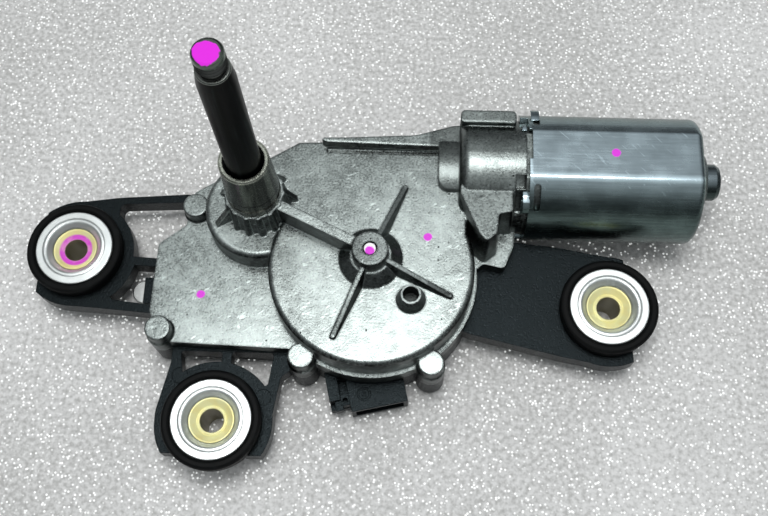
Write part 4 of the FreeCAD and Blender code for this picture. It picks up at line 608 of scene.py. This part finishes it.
def hub_pin():
    """Plain steel under a dab that covers the lower two thirds of the pin's end."""
    finish = Finish("hub_pin", 1.0)
    spot = (HUB.x, HUB.y - PIN_DAB_SHIFT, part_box("wheel_axle_pin")[1].z)
    paint_over(finish, PIN_COLOUR, 1.0, 0.38, dab(finish.place, spot, PIN_DAB_RADIUS))
    finish.bump(noise(finish.place, METAL_GRAIN), METAL_DEPTH)


tube_steel()
hub_pin()
print("top of the tube in mm:", round(TUBE_TOP / MM, 1))

# %% [markdown]
# What is left sits inside: the nylon worm wheel, the magnets, the brushes and
# the circuit board. They show only when the motor is opened, yet each gets the
# colour and grain of the real thing. They differ only in numbers, so one
# function makes them too.

# %% Inner finishes


def plain_solid(name, colour, roughness, grain_size, depth):
    finish = Finish(name, 0.0)
    grain = noise(finish.place, grain_size * MM)
    finish.colour(blend(grain, dimmed(colour, 0.75), colour))
    finish.set("Roughness", roughness + swing(grain, 0.2))
    finish.bump(grain, depth * MM)


plain_solid("nylon", (0.80, 0.77, 0.66, 1.0), 0.45, 0.8, 0.01)
plain_solid("ferrite", (0.07, 0.07, 0.075, 1.0), 0.6, 0.4, 0.03)
plain_solid("carbon", (0.05, 0.05, 0.05, 1.0), 0.55, 0.3, 0.03)
plain_solid("board", (0.03, 0.16, 0.07, 1.0), 0.4, 1.2, 0.01)
plain_solid("capacitor_blue", (0.07, 0.14, 0.35, 1.0), 0.3, 1.5, 0.01)
print("finishes so far:", len(finishes))

# %% [markdown]
# Every solid now takes the finish of what it is made of. The washers and the
# bushes of the mounts take the copy that is centred on their own bolt hole.

# %% Dress the solids
MADE_OF = {
    "cast_aluminium": ["gear_housing"],
    "galvanised_steel": ["motor_can"],
    "black_plastic": ["cover_bracket", "connector_socket", "brush_holder"],
    "rubber": ["spindle_seal"] + [name + "_mount_grommet" for name in MOUNTS],
    "dark_steel": ["wiper_spindle", "spindle_pinion", "sector_link", "worm_shaft"],
    "zinc_steel": ["cover_screws", "spindle_circlip", "swing_plate", "swing_pin", "crank_pin",
                   "wheel_circlip", "breather_cap"],
    "hub_pin": ["wheel_axle_pin"],
    "tube_steel": ["spindle_tube"],
    "bronze": ["spindle_bush_lower", "spindle_bush_upper", "worm_end_bush", "shaft_bearing",
               "rear_bearing"],
    "tinned_brass": ["connector_pins", "contact_disc", "brush_tubes", "brush_springs",
                     "park_contacts"],
    "nylon": ["worm_wheel", "thrust_pads"],
    "core_steel": ["armature_core"],
    "copper": ["armature_windings", "commutator"],
    "ferrite": ["magnets"],
    "carbon": ["brushes"],
    "board": ["circuit_board"],
    "capacitor_blue": ["noise_capacitor"],
}
for mount in MOUNTS:
    MADE_OF["white_zinc." + mount] = [mount + "_mount_washer"]
    MADE_OF["yellow_zinc." + mount] = [mount + "_mount_bush"]


def dress(thing, finish):
    thing.data.materials.clear()
    thing.data.materials.append(finishes[finish])


for finish, nodes in MADE_OF.items():
    for node in nodes:
        dress(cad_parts[node], finish)
print("dressed:", sum(len(nodes) for nodes in MADE_OF.values()))

# %% [markdown]
# The spindle is black oxide up to its cone and bare steel above it, and its end
# face is painted. Every change comes at a level, so the height picks the finish.

# %% Spindle finish
SPINDLE_EDGE = 0.15 * MM
OXIDE_TOP = (105.7 * MM, 105.9 * MM)
SHOULDER_TOP = (106.2 * MM, 106.35 * MM)
END_START = (111.15 * MM, 111.35 * MM)
OXIDE, OXIDE_STREAK_HIGHLIGHT = (0.0015, 0.0018, 0.0018, 1.0), (0.009, 0.012, 0.012, 1.0)
THREAD_STEEL, END_STEEL = (0.10, 0.105, 0.10, 1.0), (0.13, 0.155, 0.135, 1.0)
SHOULDER_STEEL = (0.22, 0.24, 0.22, 1.0)
END_DAB_SHIFT = Vector((-0.15, -0.35, 0.0)) * MM
END_DAB_REACH, END_DAB_SWING = (3.0 * MM, 3.3 * MM), 1.6 * MM


def spindle_finish():
    finish = Finish("spindle_steel", 1.0, SPINDLE_EDGE)
    place = finish.place
    level = coordinate(place, Z)
    grain = noise(place, 0.5 * MM)
    # Lighter streaks along the oxide are painted highlights.
    highlight_streaks = ramp(noise(stretched(place, (1.0, 1.0, 0.05)), 0.9 * MM, 2.0), 0.5, 0.75)
    oxide = 1.0 - ramp(level, *OXIDE_TOP)
    bare = blend(ramp(level, *END_START), THREAD_STEEL, END_STEEL)
    bare = blend(1.0 - ramp(level, *SHOULDER_TOP), bare, SHOULDER_STEEL)
    colour = blend(oxide, bare, blend(highlight_streaks, OXIDE, OXIDE_STREAK_HIGHLIGHT))
    end = Vector((SPINDLE.x, SPINDLE.y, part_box("wiper_spindle")[1].z)) + END_DAB_SHIFT
    reach = distance(place, end) + swing(noise(place, 2.0 * MM, 2.0), END_DAB_SWING)
    rough = 0.24 + oxide * 0.1 + swing(grain, 0.1)
    paint_over(finish, colour, 1.0 - oxide, rough, 1.0 - ramp(reach, *END_DAB_REACH))
    finish.set("Specular IOR Level", 0.08)
    finish.bump(grain, 0.01 * MM)


spindle_finish()
print("oxide ends at a height in mm of", round(OXIDE_TOP[1] / MM, 1))

# %% [markdown]
# A turned piece is the same all round, so only the half of it beside its axis
# has to be drawn. A spin carries those points round the axis, and the points
# that meet there are merged, which closes the poles. Every new piece then gets
# its normals, its smooth shading and its finish in the same way.

# %% Turn a piece, and finish it
ROUND_STEPS = 64
MERGE = 0.001 * MM


def beside(shape, axis, outline):
    """Points beside an upright axis, from a radius and a level each, in millimetres."""
    return [shape.verts.new((axis.x + radius * MM, axis.y, level * MM))
            for radius, level in outline]


def spin_body(shape, axis, profile):
    """Spin a profile once round an upright axis into a closed solid."""
    verts = beside(shape, axis, profile)
    edges = [shape.edges.new(pair) for pair in zip(verts, verts[1:])]
    bmesh.ops.spin(shape, geom=verts + edges, cent=(axis.x, axis.y, 0), axis=(0, 0, 1),
                   angle=math.tau, steps=ROUND_STEPS, use_merge=True, dvec=(0, 0, 0))
    bmesh.ops.remove_doubles(shape, verts=shape.verts, dist=MERGE)


def finished(name, shape, finish):
    """Make an object of a bmesh, smooth and dressed."""
    bmesh.ops.recalc_face_normals(shape, faces=shape.faces)
    mesh = bpy.data.meshes.new(name)
    shape.to_mesh(mesh)
    shape.free()
    mesh.shade_smooth()
    thing = bpy.data.objects.new(name, mesh)
    bpy.context.scene.collection.objects.link(thing)
    dress(thing, finish)
    return thing


print("steps in a full turn:", ROUND_STEPS)

# %% [markdown]
# A rolled thread has round crests, because the metal flows between two dies and
# isn't cut. The thread could be a bump, but it shows against the background, so
# it is a real ridge. Its section is spun three turns while it climbs, and a
# spin closes it at both ends when it starts from a face.

# %% Roll the thread
CORE_RADIUS, CREST_RADIUS, ROOT_RADIUS = 3.35, 4.0, 3.25
THREAD_START, THREAD_PITCH, THREAD_TURNS = 107.6, 1.25, 3
RIDGE = [(ROOT_RADIUS, -0.52), (CREST_RADIUS - 0.12, -0.16), (CREST_RADIUS, 0.0),
         (CREST_RADIUS - 0.12, 0.16), (ROOT_RADIUS, 0.52)]


def spin_thread(shape, axis):
    """Spin a rounded ridge that climbs round the core, closed at both ends."""
    verts = beside(shape, axis, [(radius, THREAD_START + rise) for radius, rise in RIDGE])
    face = shape.faces.new(verts)
    steps = ROUND_STEPS * THREAD_TURNS
    climb = THREAD_PITCH * THREAD_TURNS / steps * MM
    bmesh.ops.spin(shape, geom=verts + list(face.edges) + [face], cent=(axis.x, axis.y, 0),
                   axis=(0, 0, 1), angle=math.tau * THREAD_TURNS, steps=steps,
                   dvec=(0, 0, climb))


print("thread in mm: across", 2 * CREST_RADIUS, "pitch", THREAD_PITCH)

# %% [markdown]
# The solids leave the spindle's end plain. This piece has what the eye sees
# there: the cone, the bright shoulder, the thread and the smooth end. Stacked
# cylinders could stand for it, but one profile gives every cone and groove at
# once. Below the tube the profile follows the solid and its grooves.

# %% Make the spindle
CLIP_LOW, CLIP_HIGH = (point.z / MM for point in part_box("spindle_circlip"))
PINION_LOW, PINION_HIGH = (point.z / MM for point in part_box("spindle_pinion"))
SPINDLE_LOW, SPINDLE_HIGH = (point.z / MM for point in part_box("wiper_spindle"))
FLANGE_GAP = 0.3
FLANGE_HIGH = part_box("spindle_tube")[0].z / MM - FLANGE_GAP
SHARP_ANGLE = math.radians(28)
SPINDLE_PROFILE = [
    (0, SPINDLE_LOW), (3.5, SPINDLE_LOW), (4.0, SPINDLE_LOW + 0.5), (4.0, CLIP_LOW),
    (3.3, CLIP_LOW), (3.3, CLIP_HIGH), (4.0, CLIP_HIGH), (4.0, PINION_LOW),
    (4.6, PINION_LOW), (4.6, PINION_HIGH), (6.6, PINION_HIGH), (6.6, FLANGE_HIGH),
    (5.0, FLANGE_HIGH), (5.0, 101.3), (4.45, 105.6), (4.4, 106.0), (4.2, 106.25),
    (3.45, 106.4), (CORE_RADIUS, 107.0), (CORE_RADIUS, 111.1), (3.85, 111.3),
    (3.95, 111.6), (3.95, 112.8), (3.75, 113.2), (3.2, SPINDLE_HIGH), (0, SPINDLE_HIGH),
]


def spindle():
    shape = bmesh.new()
    spin_body(shape, SPINDLE, SPINDLE_PROFILE)
    spin_thread(shape, SPINDLE)
    thing = finished("spindle_with_thread", shape, "spindle_steel")
    thing.data.set_sharp_from_angle(angle=SHARP_ANGLE)
    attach(thing, "spindle")
    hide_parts("wiper_spindle")
    print("faces of the spindle:", len(thing.data.polygons))


spindle()

# %% [markdown]
# Where the can meets the motor block, small tongues of its sheet are bent over.
# Each is the outline of a bent strip, seen along the motor and extruded along
# it. Its edges are rounded by a bevel, because the level top mirrors the lamp
# and a sharp strip would show no bright rim at the joint.

# %% Bend the can's tongues
TONGUES = {
    "front": (90.3, 92.5, [(68.0, 33.5), (66.4, 33.5), (64.6, 32.9), (63.1, 31.7), (62.3, 30.2)]),
    "rear": (93.0, 95.6, [(91.2, 34.8), (92.8, 34.5), (94.6, 33.9), (95.8, 32.7)]),
    "upper": (90.2, 91.8, [(87.4, 35.3), (88.8, 34.9), (90.4, 33.9)]),
}
HALF_SHEET = 0.25
TONGUE_ROUNDING = 0.12 * MM


def tongue(name, start, end, line):
    """A strip of sheet between two places along the motor, about the line of its middle."""
    shape = bmesh.new()
    under = [(y, z - HALF_SHEET) for y, z in line]
    over = [(y, z + HALF_SHEET) for y, z in reversed(line)]
    outline = [shape.verts.new((start * MM, y * MM, z * MM)) for y, z in under + over]
    grown = bmesh.ops.extrude_face_region(shape, geom=[shape.faces.new(outline)])["geom"]
    far_end = [item for item in grown if isinstance(item, bmesh.types.BMVert)]
    bmesh.ops.translate(shape, vec=((end - start) * MM, 0, 0), verts=far_end)
    bmesh.ops.recalc_face_normals(shape, faces=shape.faces)
    bmesh.ops.bevel(shape, geom=list(shape.edges), offset=TONGUE_ROUNDING,
                    offset_type="OFFSET", segments=2, profile=0.5, affect="EDGES",
                    clamp_overlap=True, material=-1)
    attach(finished(name, shape, "galvanised_steel"), "housing")


for name, (start, end, line) in TONGUES.items():
    tongue("can_tongue_" + name, start, end, line)
print("tongues:", len(TONGUES))

# %% [markdown]
# The motor lies on a pale bench with painted glints in it. The plane is one large
# sheet, far wider than the picture, just under the level that the mounting bushes
# stand on. The glints are cells of noise: a small white spot in the middle of
# each, where a broader noise lets it show, and each spot also glows a little,
# as a painted glint.

# %% Bench
BENCH_HALF = 1.5
BENCH_DROP = 0.05 * MM
BENCH_DARK, BENCH_PALE = (0.54, 0.54, 0.525, 1.0), (0.92, 0.92, 0.91, 1.0)
SPARKLE_SPACING, SPARKLE_SIZE = 1.35 * MM, (0.14, 0.34)
PAINTED_GLINT, PAINTED_GLINT_GLOW = (1.0, 1.0, 1.0, 1.0), (0.5, 0.52, 0.5, 1.0)


def bench_finish():
    finish = Finish("bench", 0.0, edge=None)
    place = finish.place
    cloud = noise(place, 90 * MM) * 0.3 + noise(place, 1.4 * MM, 6.0) * 0.7
    sheet = blend(ramp(cloud, 0.32, 0.66), BENCH_DARK, BENCH_PALE)
    cells = place.node("TexVoronoi", {}, {"Vector": place, "Scale": 1.0 / SPARKLE_SPACING})
    # Painted glints: white spots that also glow.
    painted_glint = (1.0 - ramp(cells, *SPARKLE_SIZE)) * ramp(noise(place, 5 * MM), 0.32, 0.52)
    finish.colour(blend(painted_glint, sheet, PAINTED_GLINT))
    finish.set("Roughness", 0.7)
    finish.set("Emission Color", blend(painted_glint, BLACK, PAINTED_GLINT_GLOW))
    finish.set("Emission Strength", 1.0)


def bench():
    shape = bmesh.new()
    bmesh.ops.create_grid(shape, x_segments=1, y_segments=1, size=BENCH_HALF)
    bmesh.ops.translate(shape, vec=(MOTOR.x, MOTOR.y, cad_low.z - BENCH_DROP), verts=shape.verts)
    finished("bench", shape, "bench")


bench_finish()
bench()
print("bench in metres:", 2 * BENCH_HALF, "each way")

# %% [markdown]
# One broad soft lamp hangs overhead, a little to the left. It is mirrored in the
# level faces at the front, less in those at the back, and leaves the walls dark.
# The room is a dome that is brighter at its ceiling than at its dark walls,
# because bare metal shows what stands around it, and one even grey looks flat.

# %% Lamp and room
LAMP_PLACE, LAMP_TARGET = Vector((0.03, 0.13, 1.0)), Vector((0.04, 0.04, 0.0))
LAMP_SIZE = (0.38, 0.34)
LAMP_POWER = 4.1
WALLS, CEILING = (0.11, 0.115, 0.12, 1.0), (0.58, 0.60, 0.61, 1.0)
CEILING_START = (0.35, 0.95)


def lamp():
    data = bpy.data.lights.new("main_lamp", "AREA")
    data.shape = "RECTANGLE"
    data.size, data.size_y = LAMP_SIZE
    data.energy = LAMP_POWER
    thing = bpy.data.objects.new("main_lamp", data)
    thing.location = LAMP_PLACE
    thing.rotation_euler = (LAMP_TARGET - LAMP_PLACE).to_track_quat("-Z", "Y").to_euler()
    bpy.context.scene.collection.objects.link(thing)


def room():
    world = bpy.data.worlds.new("room")
    bpy.context.scene.world = world
    world.use_nodes = True
    height = coordinate(Wire(world.node_tree).node("TexCoord", {}, {}, "Generated"), Z)
    light = blend(ramp(height, *CEILING_START), WALLS, CEILING)
    shader = world.node_tree.nodes["Background"]
    world.node_tree.links.new(light.socket, shader.inputs["Color"])


lamp()
room()
print("lamp in watts:", LAMP_POWER)

# %% [markdown]
# The camera looks down from the front at the angle of the photograph. Its place
# was solved once from the upright spindle, the level plate and the round
# washers, so it is a plain number here.

# %% Camera
CAMERA_PLACE = Vector((58.0, -56.7, 307.0)) * MM
CAMERA_FORWARD = Vector((-0.0286, 0.3502, -0.9362))
CAMERA_UP = Vector((-0.0277, 0.936, 0.351))
LENS, SENSOR_WIDTH = 46.875, 36.0


def camera():
    data = bpy.data.cameras.new("camera")
    data.lens = LENS
    data.sensor_width = SENSOR_WIDTH
    thing = bpy.data.objects.new("camera", data)
    back = -CAMERA_FORWARD.normalized()
    right = CAMERA_UP.cross(back).normalized()
    up = back.cross(right)
    turn = Matrix((right, up, back)).transposed().to_4x4()
    thing.matrix_world = Matrix.Translation(CAMERA_PLACE) @ turn
    bpy.context.scene.collection.objects.link(thing)
    bpy.context.scene.camera = thing


camera()
bpy.context.scene.view_settings.view_transform = "Standard"
print("camera height in mm:", round(CAMERA_PLACE.z / MM, 1))
